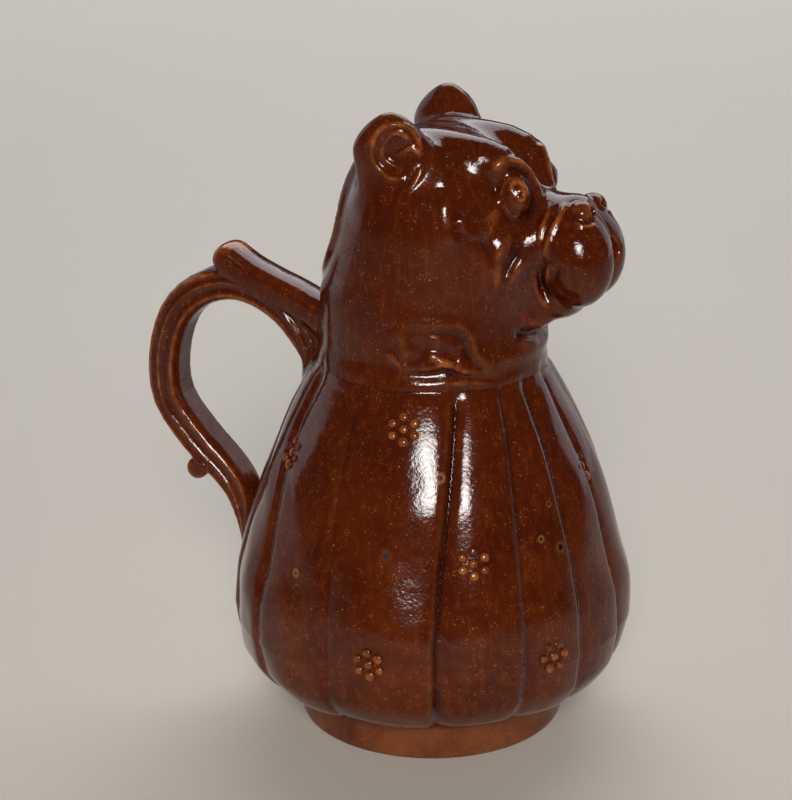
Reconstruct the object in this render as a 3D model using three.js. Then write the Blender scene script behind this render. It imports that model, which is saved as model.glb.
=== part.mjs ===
// Dog head pitcher: one fired piece of brown glazed stoneware, hollow from the floor to the crown.
// Millimetres, +Z up. The dog looks along +X. The origin is the centre of the foot's underside.
//
// The pot is described as a signed distance: negative inside the clay, positive outside it. Each
// part of the form adds to that distance or cuts it, and one closed skin is drawn where it is zero.
// Everything on the dog is the same on its left and right, so the head works with the size of y.
import * as THREE from "three";

// Driving dimensions of the pot
const COLLAR_HEIGHT = 150; // crease where the dog's neck leaves the body
const HEAD_HEIGHT = 103; // from that crease to the tips of the ears
const COLLAR_RADIUS = 43.6;
const BELLY_HEIGHT = 46; // where the body is widest
const BELLY_RADIUS = 78;
const FOOT_HEIGHT = 16;
const FOOT_RADIUS = 53.5;
const WALL = 5.5;
const THIN_WALL = 3.5; // least clay left behind deep carving
const FLOOR = 10; // clay under the hollow

// Driving dimensions of the pleats
const PLEAT_BULGE = 2.2;
const PLEAT_LAP = 2; // step from one panel down to the next
const GROOVE_DEPTH = 1.5;
const GROOVE_WIDTH = 3.8;

// Driving dimensions of the handle
const HANDLE_WIDTH = 16;
const HANDLE_THICKNESS = 13.6;
const HANDLE_REACH = 60; // how far the strap's middle stands out from the line between its ends
const HANDLE_FOOT = 60; // height where the strap lands on the body
const HANDLE_TOP = 10; // height above the collar where the strap leaves the neck
const LEAF_WIDTH = 18; // the thumb leaf lying along the top of the strap
const LEAF_THICKNESS = 10;
const SCROLL_RADIUS = 4.6;
const HANDLE_ROUNDING = 3.5;

// Driving dimensions of the openings
const FILLER_LENGTH = 52; // slanted mouth at the back of the head, between the ears
const FILLER_WIDTH = 38;
const FILLER_SLOPE = 23; // degrees the mouth leans away from upright
const FILLER_RIM = 1.8; // radius of the rolled rim
const POUR_BORE = 9.4; // hole between the flews

// Fineness of the skin
const CELL = 2.5; // spacing of the lattice that the skin is drawn on
const SKIN_TRIANGLES = 9600;

const GLAZE = new THREE.MeshStandardMaterial({ color: 0x55210f, roughness: 0.22, metalness: 0 });

const TAU = 2 * Math.PI;
const clamp = (value, low, high) => Math.min(Math.max(value, low), high);
const toDegrees = (angle) => (angle * 360) / TAU;
const toRadians = (angle) => (angle * TAU) / 360;

// Joins two distances, rounding the seam over the given reach.
function join(a, b, reach) {
  const overlap = Math.max(reach - Math.abs(a - b), 0) / reach;
  return Math.min(a, b) - (overlap * overlap * reach) / 4;
}

// Keeps what both distances hold, rounding the edge over the given reach.
function keepBoth(a, b, reach) {
  return -join(-a, -b, reach);
}

function cut(a, tool, reach) {
  return keepBoth(a, -tool, reach);
}

// A smooth curve through [position, value] stations that never overshoots them.
function curveThrough(stations) {
  const count = stations.length;
  const slopes = [];
  for (let i = 0; i < count - 1; i += 1) {
    slopes.push((stations[i + 1][1] - stations[i][1]) / (stations[i + 1][0] - stations[i][0]));
  }
  const tangents = [slopes[0]];
  for (let i = 1; i < count - 1; i += 1) {
    const before = slopes[i - 1];
    const after = slopes[i];
    tangents.push(before * after > 0 ? (2 * before * after) / (before + after) : 0);
  }
  tangents.push(slopes[count - 2]);
  return (position) => {
    const at = clamp(position, stations[0][0], stations[count - 1][0]);
    let i = 0;
    while (i < count - 2 && at > stations[i + 1][0]) {
      i += 1;
    }
    const span = stations[i + 1][0] - stations[i][0];
    const t = (at - stations[i][0]) / span;
    const rise = stations[i + 1][1] - stations[i][1];
    const ease = t * t * (3 - 2 * t);
    const leave = t * (1 - t) * (1 - t) * span * tangents[i];
    const arrive = t * t * (t - 1) * span * tangents[i + 1];
    return stations[i][1] + rise * ease + leave + arrive;
  };
}

function ellipsoid(x, y, z, centre, radii) {
  const ex = (x - centre[0]) / radii[0];
  const ey = (y - centre[1]) / radii[1];
  const ez = (z - centre[2]) / radii[2];
  const size = Math.hypot(ex, ey, ez);
  const steepness = Math.hypot(ex / radii[0], ey / radii[1], ez / radii[2]);
  return (size * (size - 1)) / Math.max(steepness, 1e-9);
}

// A path ready to be measured from: points, the share of the length at each, and its box.
function makePath(points, reach = 0) {
  const lengths = [0];
  for (let i = 1; i < points.length; i += 1) {
    lengths.push(lengths[i - 1] + points[i].distanceTo(points[i - 1]));
  }
  const total = lengths[lengths.length - 1];
  const box = new THREE.Box3().setFromPoints(points).expandByScalar(reach);
  return { points, shares: lengths.map((length) => length / total), box };
}

function smoothPath(corners, stepsPerSpan, reach = 0) {
  const curve = new THREE.CatmullRomCurve3(corners.map((corner) => new THREE.Vector3(...corner)));
  const steps = stepsPerSpan * (corners.length - 1);
  const points = [];
  for (let i = 0; i <= steps; i += 1) {
    points.push(curve.getPoint(i / steps));
  }
  return makePath(points, reach);
}

// Distance from a point to a path, and the share of the path's length where that is.
const nearest = { distance: 0, share: 0 };
function measurePath(path, x, y, z) {
  let best = Infinity;
  for (let i = 0; i < path.points.length - 1; i += 1) {
    const a = path.points[i];
    const b = path.points[i + 1];
    const dx = b.x - a.x;
    const dy = b.y - a.y;
    const dz = b.z - a.z;
    const along = (x - a.x) * dx + (y - a.y) * dy + (z - a.z) * dz;
    const t = clamp(along / (dx * dx + dy * dy + dz * dz), 0, 1);
    const distance = Math.hypot(x - a.x - t * dx, y - a.y - t * dy, z - a.z - t * dz);
    if (distance < best) {
      best = distance;
      nearest.share = path.shares[i] + t * (path.shares[i + 1] - path.shares[i]);
    }
  }
  nearest.distance = best;
  return nearest;
}

// A rod between two points whose radius changes evenly.
function taperedRod(x, y, z, from, to, startRadius, endRadius) {
  const dx = to[0] - from[0];
  const dy = to[1] - from[1];
  const dz = to[2] - from[2];
  const along = (x - from[0]) * dx + (y - from[1]) * dy + (z - from[2]) * dz;
  const t = clamp(along / (dx * dx + dy * dy + dz * dz), 0, 1);
  const reach = Math.hypot(x - from[0] - t * dx, y - from[1] - t * dy, z - from[2] - t * dz);
  return reach - startRadius - t * (endRadius - startRadius);
}

// Body: a bell of revolution. Each station is a share of the height and a share of the swelling.
const underBelly = curveThrough([[0, 0.06], [0.133, 0.43], [0.333, 0.714], [0.6, 0.918], [1, 1]]);
const overBelly = curveThrough([
  [0, 1], [0.137, 0.977], [0.294, 0.863], [0.451, 0.733],
  [0.608, 0.578], [0.765, 0.366], [0.902, 0.157], [1, 0],
]);

function bodyRadius(z) {
  if (z < BELLY_HEIGHT) {
    const share = underBelly((z - FOOT_HEIGHT) / (BELLY_HEIGHT - FOOT_HEIGHT));
    return FOOT_RADIUS + (BELLY_RADIUS - FOOT_RADIUS) * share;
  }
  const share = overBelly((z - BELLY_HEIGHT) / (COLLAR_HEIGHT - BELLY_HEIGHT));
  return COLLAR_RADIUS + (BELLY_RADIUS - COLLAR_RADIUS) * share;
}

// Pleats of one side, in degrees round from the front: where each groove runs at the belly, where
// it has drifted to at the collar, and how strongly it shows. The other side mirrors them.
const PLEATS = [
  [0, 0, 0.6], [21, 20, 0.55], [42, 35, 0.5], [67.5, 57, 1],
  [100, 106, 0.4], [128, 140, 0.5], [155, 162, 0.6],
];
const DRIFT_START = 0.4; // share of the body's height where the grooves start to drift
const DRIFT_POWER = 1.6;

function groovesAt(z) {
  const risen = (z / COLLAR_HEIGHT - DRIFT_START) / (1 - DRIFT_START);
  const drift = Math.pow(clamp(risen, 0, 1), DRIFT_POWER);
  const grooves = PLEATS.map(([belly, collar, strength]) => [belly + (collar - belly) * drift, strength]);
  const mirrored = grooves.slice(1).map(([angle, strength]) => [-angle, strength]);
  return [...grooves, ...mirrored];
}

const grooveRows = new Map();
function pleatSwell(x, y, z, radius) {
  if (!grooveRows.has(z)) {
    grooveRows.set(z, groovesAt(z));
  }
  const angle = toDegrees(Math.atan2(y, x));
  let behind = 360;
  let ahead = 360;
  let strength = 1;
  for (const [groove, shown] of grooveRows.get(z)) {
    const turn = (((angle - groove) % 360) + 360) % 360;
    if (Math.min(turn, 360 - turn) < Math.min(behind, ahead)) {
      strength = shown;
    }
    behind = Math.min(behind, turn);
    ahead = Math.min(ahead, 360 - turn);
  }
  const across = behind / (behind + ahead);
  const dip = 1 - Math.pow(Math.sin(Math.PI * across), 0.7);
  const away = toRadians(Math.min(behind, ahead)) * radius;
  const inGroove = Math.exp(-Math.pow(away / (GROOVE_WIDTH / 2), 2));
  const lap = PLEAT_LAP * (across - 0.5) * (1 - inGroove);
  const hem = clamp((z - FOOT_HEIGHT + 2) / 8, 0, 1);
  const gather = clamp((COLLAR_HEIGHT + 6 - z) / 10, 0, 1);
  const sunk = PLEAT_BULGE * dip + GROOVE_DEPTH * inGroove - lap;
  return hem * gather * (PLEAT_BULGE - strength * sunk);
}

const SLOPE_EASE = 0.82; // the bell's wall leans, so a level distance overstates the true one

function bodyForm(x, y, z) {
  const radius = bodyRadius(z);
  const wall = (Math.hypot(x, y) - radius - pleatSwell(x, y, z, radius)) * SLOPE_EASE;
  const skirt = Math.max(wall, FOOT_HEIGHT - 1 - z);
  return keepBoth(skirt, z - COLLAR_HEIGHT - 6, 4);
}

function footForm(x, y, z) {
  const side = Math.hypot(x, y) - FOOT_RADIUS + 0.06 * Math.abs(z - 3);
  return keepBoth(keepBoth(side, -z, 3), z - FOOT_HEIGHT - 6, 2);
}

// The head is drawn in its own units, from the centre of the collar crease, so that all of its
// carving keeps its share of the head's height.
const EAR_CENTRE = [-4.6, 29, 88];
const EAR_RADII = [15, 7, 15];
const HEAD_UNIT = HEAD_HEIGHT / (EAR_CENTRE[2] + EAR_RADII[2]);
const DRAWN_COLLAR = COLLAR_RADIUS / HEAD_UNIT;

// Neck: how far the back, the throat and each side lie from the axis, by height.
const neckBack = curveThrough([
  [-12, DRAWN_COLLAR + 1.4], [0, DRAWN_COLLAR + 0.4], [25, 44], [40, 40], [56, 35], [73, 30], [90, 27],
]);
const neckFront = curveThrough([
  [-12, DRAWN_COLLAR + 1], [0, DRAWN_COLLAR + 1], [5, 45], [10, 46], [14, 45],
  [20, 44], [28, 43.5], [40, 43], [56, 42], [73, 41], [90, 38],
]);
const neckSide = curveThrough([
  [-12, DRAWN_COLLAR + 0.4], [0, DRAWN_COLLAR], [25, 43], [40, 42], [56, 41], [73, 39], [90, 36],
]);

function neckForm(x, y, z) {
  const back = -neckBack(z);
  const front = neckFront(z);
  const side = neckSide(z);
  const middle = (back + front) / 2;
  const depth = (front - back) / 2;
  const wall = (Math.hypot((x - middle) / depth, y / side) - 1) * Math.min(depth, side);
  return keepBoth(keepBoth(wall, z - 74, 24), -z - 8, 4);
}

// Neck, skull, and the root and bridge of the muzzle: the plain form under the carving.
function skullForm(x, y, z) {
  let form = neckForm(x, y, z);
  form = join(form, ellipsoid(x, y, z, [4, 0, 64], [36, 38, 30]), 8);
  form = join(form, ellipsoid(x, y, z, [33, 0, 48], [20, 25, 25]), 10);
  return join(form, taperedRod(x, y, z, [36, 0, 56], [54, 0, 56], 15.5, 14), 6);
}

// Two brow ridges run forward over the crown and drop to the bridge of the nose.
const browPath = smoothPath([[2, 13, 84], [18, 13, 84], [31, 12.5, 82], [38, 10.5, 77], [41, 8, 72]], 2);
const browThickness = curveThrough([[0, 9.5], [0.5, 9], [0.8, 7], [1, 4.5]]);

// A cupped flap that narrows upwards and runs down into the neck, with its bowl turned outwards.
const EAR_TAPER = 0.3;
const EAR_TURN = 0.2; // radians that its face turns forward
const EAR_SPLAY = 0.12; // how far it leans outwards as it rises
const EAR_FOOT = 1.5; // how much longer it is below its middle than above
const EAR_BOWL = [1.2, 9.2, 1.3];
const EAR_BOWL_RADII = [11.4, 5.5, 11.6];

function earForm(x, y, z) {
  const dx = x - EAR_CENTRE[0];
  const dz = z - EAR_CENTRE[2];
  const dy = y - EAR_CENTRE[1] - EAR_SPLAY * dz;
  const along = dx * Math.cos(EAR_TURN) - dy * Math.sin(EAR_TURN);
  const out = dx * Math.sin(EAR_TURN) + dy * Math.cos(EAR_TURN);
  const raised = clamp(dz / EAR_RADII[2], 0, 1);
  const spread = 1 - EAR_TAPER * Math.pow(raised, 1.5);
  const flap = ellipsoid(along / spread, out, dz < 0 ? dz / EAR_FOOT : dz, [0, 0, 0], EAR_RADII);
  return cut(flap, ellipsoid(along, out, dz, EAR_BOWL, EAR_BOWL_RADII), 1.4);
}

// Creases and folds, each a path over the skin with its width and how far it rises.
const FOLDS = [
  {
    name: "brow edge",
    wide: 2,
    rise: 1.3,
    path: [
      [29, 21.5, 81.5], [33.5, 20, 83.5], [37, 17, 85], [40, 14.5, 84.5], [42.5, 11.5, 81.5],
      [45.5, 7.5, 74], [46, 10, 70],
    ],
  },
  {
    name: "brow hollow",
    wide: 2.2,
    rise: -1.1,
    path: [
      [35, 19.5, 82.5], [39, 16.5, 83], [41.5, 14, 81.5], [44, 12.5, 78], [45, 12.5, 73],
      [44.5, 13.5, 67.5],
    ],
  },
  {
    name: "lid ridge",
    wide: 1.7,
    rise: 0.9,
    path: [
      [31, 29.5, 60.5], [31.5, 28, 64], [33.5, 25, 66.5], [34.5, 22, 69.5], [35.5, 20.5, 74],
      [36.5, 19.5, 77], [39, 18, 78.5], [41.5, 17, 78], [44.5, 16.5, 75.5],
    ],
  },
  {
    name: "eye bag",
    wide: 1.5,
    rise: 0.7,
    path: [
      [36, 22, 68.5], [35, 24.5, 65], [34, 26.5, 62.5], [33, 28.5, 58.5],
    ],
  },
  {
    name: "cheek loop",
    wide: 2,
    rise: 0.9,
    path: [
      [24, 33.5, 67], [25.5, 33.5, 62], [27.5, 32, 59.5], [29.5, 31, 59], [31, 29.5, 60],
    ],
  },
  {
    name: "cheek loop groove",
    wide: 1.9,
    rise: -0.8,
    path: [
      [24, 34, 65], [26, 33.5, 60.5], [28, 32, 58.5], [31, 30, 57], [33, 29, 54],
      [34.5, 28.5, 50.5], [34.5, 28, 46],
    ],
  },
  {
    name: "temple ridge",
    wide: 4,
    rise: 1.1,
    path: [
      [18.5, 32.5, 75], [19, 35, 70], [20, 36, 65], [21, 36.5, 59.5], [22.5, 36, 54.5],
    ],
  },
  {
    name: "temple groove",
    wide: 2.6,
    rise: -0.7,
    path: [
      [22.5, 33, 70.5], [23, 34.5, 66], [23.5, 35, 61.5], [25, 34.5, 57.5],
    ],
  },
  {
    name: "cheek fold",
    wide: 3,
    rise: 1.5,
    path: [
      [41.5, 22, 58.5], [38.5, 25, 55.5], [36.5, 27, 52], [36, 27, 46.5], [36.5, 26.5, 41],
      [36, 26, 35.5],
    ],
  },
  {
    name: "cheek hollow",
    wide: 2,
    rise: -1.1,
    path: [
      [42.5, 21.5, 57.5], [42, 23, 51.5], [39.5, 25, 45.5], [37.5, 25.5, 40], [37, 25, 34.5],
    ],
  },
  {
    name: "jowl fold",
    wide: 2.6,
    rise: 1.3,
    path: [
      [44.5, 18.5, 59.5], [45.5, 19.5, 54], [45, 20.5, 48.5], [42, 23, 44.5], [39, 24.5, 40],
      [37.5, 24, 33],
    ],
  },
  {
    name: "back wrinkle",
    wide: 1.7,
    rise: 0.7,
    path: [
      [47, 15, 62.5], [47, 18, 57.5], [47, 19, 52], [46, 19.5, 47],
    ],
  },
  {
    name: "middle wrinkle",
    wide: 1.6,
    rise: 1,
    path: [
      [51.5, 8.5, 69], [51, 13.5, 65], [50, 16.5, 60.5], [49.5, 18, 55.5], [48, 18, 47.5],
      [47.5, 16, 39.5], [48.5, 13, 33], [51, 13, 30], [53, 12, 28.5],
    ],
  },
  {
    name: "fore wrinkle",
    wide: 1.6,
    rise: 0.9,
    path: [
      [56.5, 7, 69.5], [56.5, 12, 66.5], [55, 15.5, 63], [53.5, 17.5, 58.5], [52.5, 18.5, 53.5],
      [51, 18.5, 49],
    ],
  },
  {
    name: "flew crease",
    wide: 2,
    rise: -0.9,
    path: [
      [58, 20, 48.5], [56.5, 19, 44], [57, 18, 40], [59.5, 17.5, 37], [62.5, 17.5, 35.5],
      [66, 17, 36],
    ],
  },
  { name: "jaw crease", wide: 1.8, rise: -1.2, path: [[40, 18, 19], [43.5, 11, 17], [46, 4, 16]] },
  {
    name: "front ear fold",
    wide: 2.6,
    rise: 0.8,
    path: [
      [8, 22, 90], [11, 24, 87.5], [14.5, 28.5, 82.5], [16.5, 32, 77],
    ],
  },
  {
    name: "upper neck fold",
    wide: 3,
    rise: 1.3,
    path: [
      [-1, 43, 27.5], [5, 42.5, 26.5], [10.5, 41.5, 25.5], [16, 40, 24.5], [20.5, 38, 24.5],
      [24.5, 35.5, 24], [27, 34, 22], [28.5, 33, 18], [29.5, 32.5, 14.5], [32, 31, 11],
      [35, 28, 8], [38, 24, 5.5],
    ],
  },
  {
    name: "upper neck hollow",
    wide: 2.5,
    rise: -1.7,
    path: [
      [5.5, 42.5, 25], [10.5, 41.5, 24], [16, 40, 23], [21, 38, 23], [24.5, 36, 22],
      [26.5, 34.5, 19], [27.5, 34.5, 15], [30, 33.5, 11], [32.5, 30.5, 8.5],
    ],
  },
  {
    name: "back neck slant",
    wide: 3.8,
    rise: 1.4,
    path: [
      [2, 43, 25], [4, 43, 21], [5.5, 43, 17], [8, 43, 12],
    ],
  },
  {
    name: "upper neck slant",
    wide: 2.6,
    rise: 0.9,
    path: [
      [7.5, 42.5, 23], [11.5, 41.5, 22.5], [16, 40, 21], [20, 38.5, 19.5],
    ],
  },
  {
    name: "front neck slant",
    wide: 2,
    rise: 1.1,
    path: [
      [13.5, 41.5, 14], [16.5, 40.5, 13.5], [20, 39, 12], [23.5, 37.5, 10.5],
    ],
  },
  {
    name: "neck hollow",
    wide: 3,
    rise: -0.8,
    path: [
      [10.5, 42, 17], [16, 40.5, 16], [21, 38.5, 14], [25, 36.5, 11.5],
    ],
  },
  {
    name: "lower neck fold",
    wide: 1.8,
    rise: 1.3,
    path: [
      [-3.5, 43, 15], [1, 43.5, 12.5], [4, 43.5, 9.5], [7.5, 43, 8.5], [13, 42, 8.5],
      [17, 40.5, 9.5], [19.5, 39.5, 10.5], [23, 38, 9.5], [26, 36, 7.5], [30, 33, 7],
      [33.5, 30, 6], [36, 26.5, 5],
    ],
  },
  {
    name: "lower neck hollow",
    wide: 2.3,
    rise: -1.1,
    path: [
      [3.5, 43.5, 7.5], [8, 43, 7], [13.5, 42, 7], [18, 40.5, 7.5], [21, 39, 8], [25, 36.5, 6],
      [30, 33.5, 5],
    ],
  },
  {
    name: "collar ridge",
    wide: 1.5,
    rise: 1.1,
    path: [
      [-14, 41.5, 0], [-3, 44.5, 1.5], [6.5, 44.5, 2], [15.5, 42, 2.5], [22, 39, 3], [26, 36.5, 3],
      [30, 33.5, 3], [33.5, 30.5, 2], [36.5, 25.5, 1], [40, 21.5, 2], [42.5, 15, 2.5],
      [45, 6.5, 2.5],
    ],
  },
];
const FOLD_TAPER = 0.3; // share of a fold's length over which each end dies away
const FOLD_FADE = 3; // widths from a fold's line to where it no longer shows
const SKIN_DEPTH = 6; // folds are only worked out this near the skin
const folds = FOLDS.map((fold) => ({ ...fold, line: smoothPath(fold.path, 3, FOLD_FADE * fold.wide) }));
const probe = new THREE.Vector3();

function foldSwell(x, y, z) {
  probe.set(x, y, z);
  let swell = 0;
  for (const fold of folds) {
    if (fold.line.box.containsPoint(probe)) {
      const near = measurePath(fold.line, x, y, z);
      const away = near.distance / fold.wide;
      const inward = clamp(Math.min(near.share, 1 - near.share) / FOLD_TAPER, 0, 1);
      swell += fold.rise * inward * (2 - inward) * Math.exp(-away * away);
    }
  }
  return swell;
}

function headForm(x, y, z) {
  let form = skullForm(x, y, z);
  form = join(form, ellipsoid(x, y, z, [54.5, 4, 53], [14.5, 13, 14]), 6); // muzzle
  form = join(form, ellipsoid(x, y, z, [62.3, 7.5, 46.5], [13, 13, 17.2]), 6); // flew
  form = join(form, ellipsoid(x, y, z, [49, 0, 30], [14, 13, 8.5]), 4); // lower jaw
  form = join(form, ellipsoid(x, y, z, [42.5, 8, 23.5], [8.5, 6.5, 5.2]), 4); // corner of the lower lip
  const brow = measurePath(browPath, x, y, z);
  form = join(form, brow.distance - browThickness(brow.share), 5);
  form = cut(form, ellipsoid(x, y, z, [47.2, 19.2, 71], [6, 6, 8]), 4); // socket
  form = join(form, ellipsoid(x, y, z, [39, 15.4, 71.3], [6.4, 6.4, 7.6]), 2); // eyeball
  form = join(form, ellipsoid(x, y, z, [59, 0, 65.4], [6.5, 6, 5]), 2.5); // nose
  form = join(form, ellipsoid(x, y, z, [62.6, 6.8, 65], [5.6, 5.6, 5]), 0.8); // wing of the nose
  form = cut(form, ellipsoid(x, y, z, [67.4, 7, 66.6], [2.2, 2, 2]), 0.8); // nostril
  form = join(form, earForm(x, y, z), 8);
  return Math.abs(form) < SKIN_DEPTH ? form - foldSwell(x, y, z) : form;
}

// The handle lies in the plane between the ears. Its points are [along, out]: along the line from
// its foot on the body to its top on the neck, and out from that line as a share of its reach.
const handleFoot = new THREE.Vector3(-bodyRadius(HANDLE_FOOT), 0, HANDLE_FOOT);
const handleTop = new THREE.Vector3(-COLLAR_RADIUS, 0, COLLAR_HEIGHT + HANDLE_TOP);
const handleRise = handleTop.clone().sub(handleFoot);
const handleOut = new THREE.Vector3(-handleRise.z, 0, handleRise.x).setLength(HANDLE_REACH);

function handlePoint([along, out]) {
  return handleFoot.clone().addScaledVector(handleRise, along).addScaledVector(handleOut, out);
}

const strapPath = smoothPath(
  [
    [-0.03, 0.08], [0.05, 0.11], [0.13, 0.16], [0.2, 0.25], [0.255, 0.4], [0.32, 0.64],
    [0.43, 0.91], [0.59, 1.03], [0.77, 1.04], [0.9, 0.93], [0.98, 0.74], [1, 0.53],
    [0.97, 0.3], [0.89, 0.1], [0.78, -0.02],
  ].map((point) => handlePoint(point).toArray()),
  2,
);
const strapThickness = curveThrough([
  [0, 0.1], [0.15, 0.43], [0.3, 0.5], [0.6, 0.5], [0.8, 0.44], [0.92, 0.36], [1, 0.2],
]);
const strapWidth = curveThrough([[0, 0.2], [0.1, 0.5], [0.9, 0.5], [1, 0.3]]);
const leafPath = smoothPath(
  [[0.99, -0.12], [1.02, 0.08], [1.035, 0.26], [1.04, 0.46], [1.05, 0.64], [1.07, 0.79]]
    .map((point) => handlePoint(point).toArray()),
  2,
);
const webPath = smoothPath(
  [[0.98, 0.04], [0.86, -0.02], [0.8, -0.04]].map((point) => handlePoint(point).toArray()),
  2,
);
const WEB_RADIUS = 6.5; // fills the corner between the strap and the neck
const scrollCentre = handlePoint([0.21, 0.56]);

// A flat strap with rounded corners that follows a path in the handle's plane.
function strapForm(path, x, y, z, halfThickness, halfWidth) {
  const near = measurePath(path, x, 0, z);
  const thick = halfThickness(near.share);
  const wide = halfWidth(near.share);
  const rounding = Math.min(HANDLE_ROUNDING, thick * 0.9);
  const dx = near.distance - thick + rounding;
  const dy = Math.abs(y) - wide + rounding;
  return Math.hypot(Math.max(dx, 0), Math.max(dy, 0)) + Math.min(Math.max(dx, dy), 0) - rounding;
}

function handleForm(x, y, z) {
  const thickness = (share) => strapThickness(share) * HANDLE_THICKNESS;
  const width = (share) => strapWidth(share) * HANDLE_WIDTH;
  const strap = strapForm(strapPath, x, y, z, thickness, width);
  const leaf = strapForm(leafPath, x, y, z, () => LEAF_THICKNESS / 2, () => LEAF_WIDTH / 2);
  const disc = Math.hypot(x - scrollCentre.x, z - scrollCentre.z) - SCROLL_RADIUS;
  const scroll = keepBoth(disc, Math.abs(y) - HANDLE_WIDTH / 2, 2);
  const web = measurePath(webPath, x, y, z).distance - WEB_RADIUS;
  return join(join(join(strap, leaf, 1.5), web, 3), scroll, 1.5);
}

// The hollow: a round-bottomed bell under the collar, and the skull form set in by the wall.
function hollowForm(x, y, z) {
  const inner = BELLY_RADIUS - WALL;
  const below = Math.min(z, BELLY_HEIGHT) - BELLY_HEIGHT;
  const bowl = ellipsoid(x, y, below, [0, 0, 0], [inner, inner, BELLY_HEIGHT - FLOOR]);
  const bell = Math.hypot(x, y) - bodyRadius(z) + WALL;
  const belly = keepBoth(z < BELLY_HEIGHT ? bowl : bell, z - COLLAR_HEIGHT - 6, 4);
  const skull = skullForm(x / HEAD_UNIT, y / HEAD_UNIT, (z - COLLAR_HEIGHT) / HEAD_UNIT) * HEAD_UNIT + WALL;
  return join(belly, skull, 6);
}

// The filler mouth is an oval bore square to a slanted plane at the back of the head.
const slope = toRadians(FILLER_SLOPE);
const fillerCentre = [-32 * HEAD_UNIT, COLLAR_HEIGHT + 58 * HEAD_UNIT];

function fillerPlace(x, z) {
  const dx = x - fillerCentre[0];
  const dz = z - fillerCentre[1];
  const up = dx * Math.sin(slope) + dz * Math.cos(slope);
  const out = -dx * Math.cos(slope) + dz * Math.sin(slope);
  return { up, out };
}

function fillerBore(x, y, z) {
  const { up, out } = fillerPlace(x, z);
  const oval = Math.hypot(up / (FILLER_LENGTH / 2), y / (FILLER_WIDTH / 2)) - 1;
  return Math.max((oval * FILLER_WIDTH) / 2, -out - 20);
}

// The rim is a roll that keeps to the skin it lies on, given as that skin's distance.
function fillerRim(x, y, z, skin) {
  const { up } = fillerPlace(x, z);
  const oval = Math.hypot(up / (FILLER_LENGTH / 2 + FILLER_RIM), y / (FILLER_WIDTH / 2 + FILLER_RIM)) - 1;
  const near = x < 0 ? oval * (FILLER_WIDTH / 2 + FILLER_RIM) : FILLER_LENGTH;
  return Math.hypot(near, skin) - FILLER_RIM;
}

const POUR_HEIGHT = COLLAR_HEIGHT + 50 * HEAD_UNIT;
const POUR_END = 90 * HEAD_UNIT; // just past the flews

function pourBore(x, y, z) {
  const from = [30 * HEAD_UNIT, 0, POUR_HEIGHT];
  const throat = [58 * HEAD_UNIT, 0, POUR_HEIGHT];
  const funnel = taperedRod(x, y, z, from, throat, POUR_BORE * 1.5, POUR_BORE / 2);
  const bore = taperedRod(x, y, z, throat, [POUR_END, 0, POUR_HEIGHT], POUR_BORE / 2, POUR_BORE / 2);
  return join(funnel, bore, 3);
}

function pitcher(x, y, z) {
  const side = Math.abs(y);
  let clay = join(bodyForm(x, y, z), footForm(x, y, z), 1.5);
  const head = headForm(x / HEAD_UNIT, side / HEAD_UNIT, (z - COLLAR_HEIGHT) / HEAD_UNIT) * HEAD_UNIT;
  clay = join(clay, head, 3);
  clay = join(clay, handleForm(x, y, z), 5);
  const hollow = keepBoth(hollowForm(x, side, z), clay + THIN_WALL, 2);
  clay = join(clay, fillerRim(x, side, z, clay), 3);
  clay = cut(clay, hollow, 2);
  clay = cut(clay, fillerBore(x, side, z), 2);
  clay = cut(clay, pourBore(x, side, z), 1.5);
  return Math.max(clay, -z);
}

// Distances at every lattice point. Blocks of cells far from the skin are filled from their middle.
function sampleLattice(box, cell, field) {
  const block = 4;
  const size = box.getSize(new THREE.Vector3());
  const blocks = size.toArray().map((length) => Math.ceil(length / cell / block));
  const [nx, ny, nz] = blocks.map((count) => count * block + 1);
  const values = new Float64Array(nx * ny * nz);
  const far = block * cell * 1.3;
  const least = 0.02 * cell;
  for (let bz = 0; bz < blocks[2]; bz += 1) {
    for (let by = 0; by < blocks[1]; by += 1) {
      for (let bx = 0; bx < blocks[0]; bx += 1) {
        const [mx, my, mz] = [bx, by, bz].map((at) => (at + 0.5) * block * cell);
        const middle = field(box.min.x + mx, box.min.y + my, box.min.z + mz);
        for (let k = bz * block; k <= (bz + 1) * block; k += 1) {
          for (let j = by * block; j <= (by + 1) * block; j += 1) {
            for (let i = bx * block; i <= (bx + 1) * block; i += 1) {
              const at = i + nx * (j + ny * k);
              if (values[at] !== 0 && Math.abs(values[at]) < far / 2) {
                continue;
              }
              let value = middle;
              if (Math.abs(middle) < far) {
                value = field(box.min.x + i * cell, box.min.y + j * cell, box.min.z + k * cell);
              }
              values[at] = Math.abs(value) < least ? least * (value < 0 ? -1 : 1) : value;
            }
          }
        }
      }
    }
  }
  return { values, nx, ny, nz };
}

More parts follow.
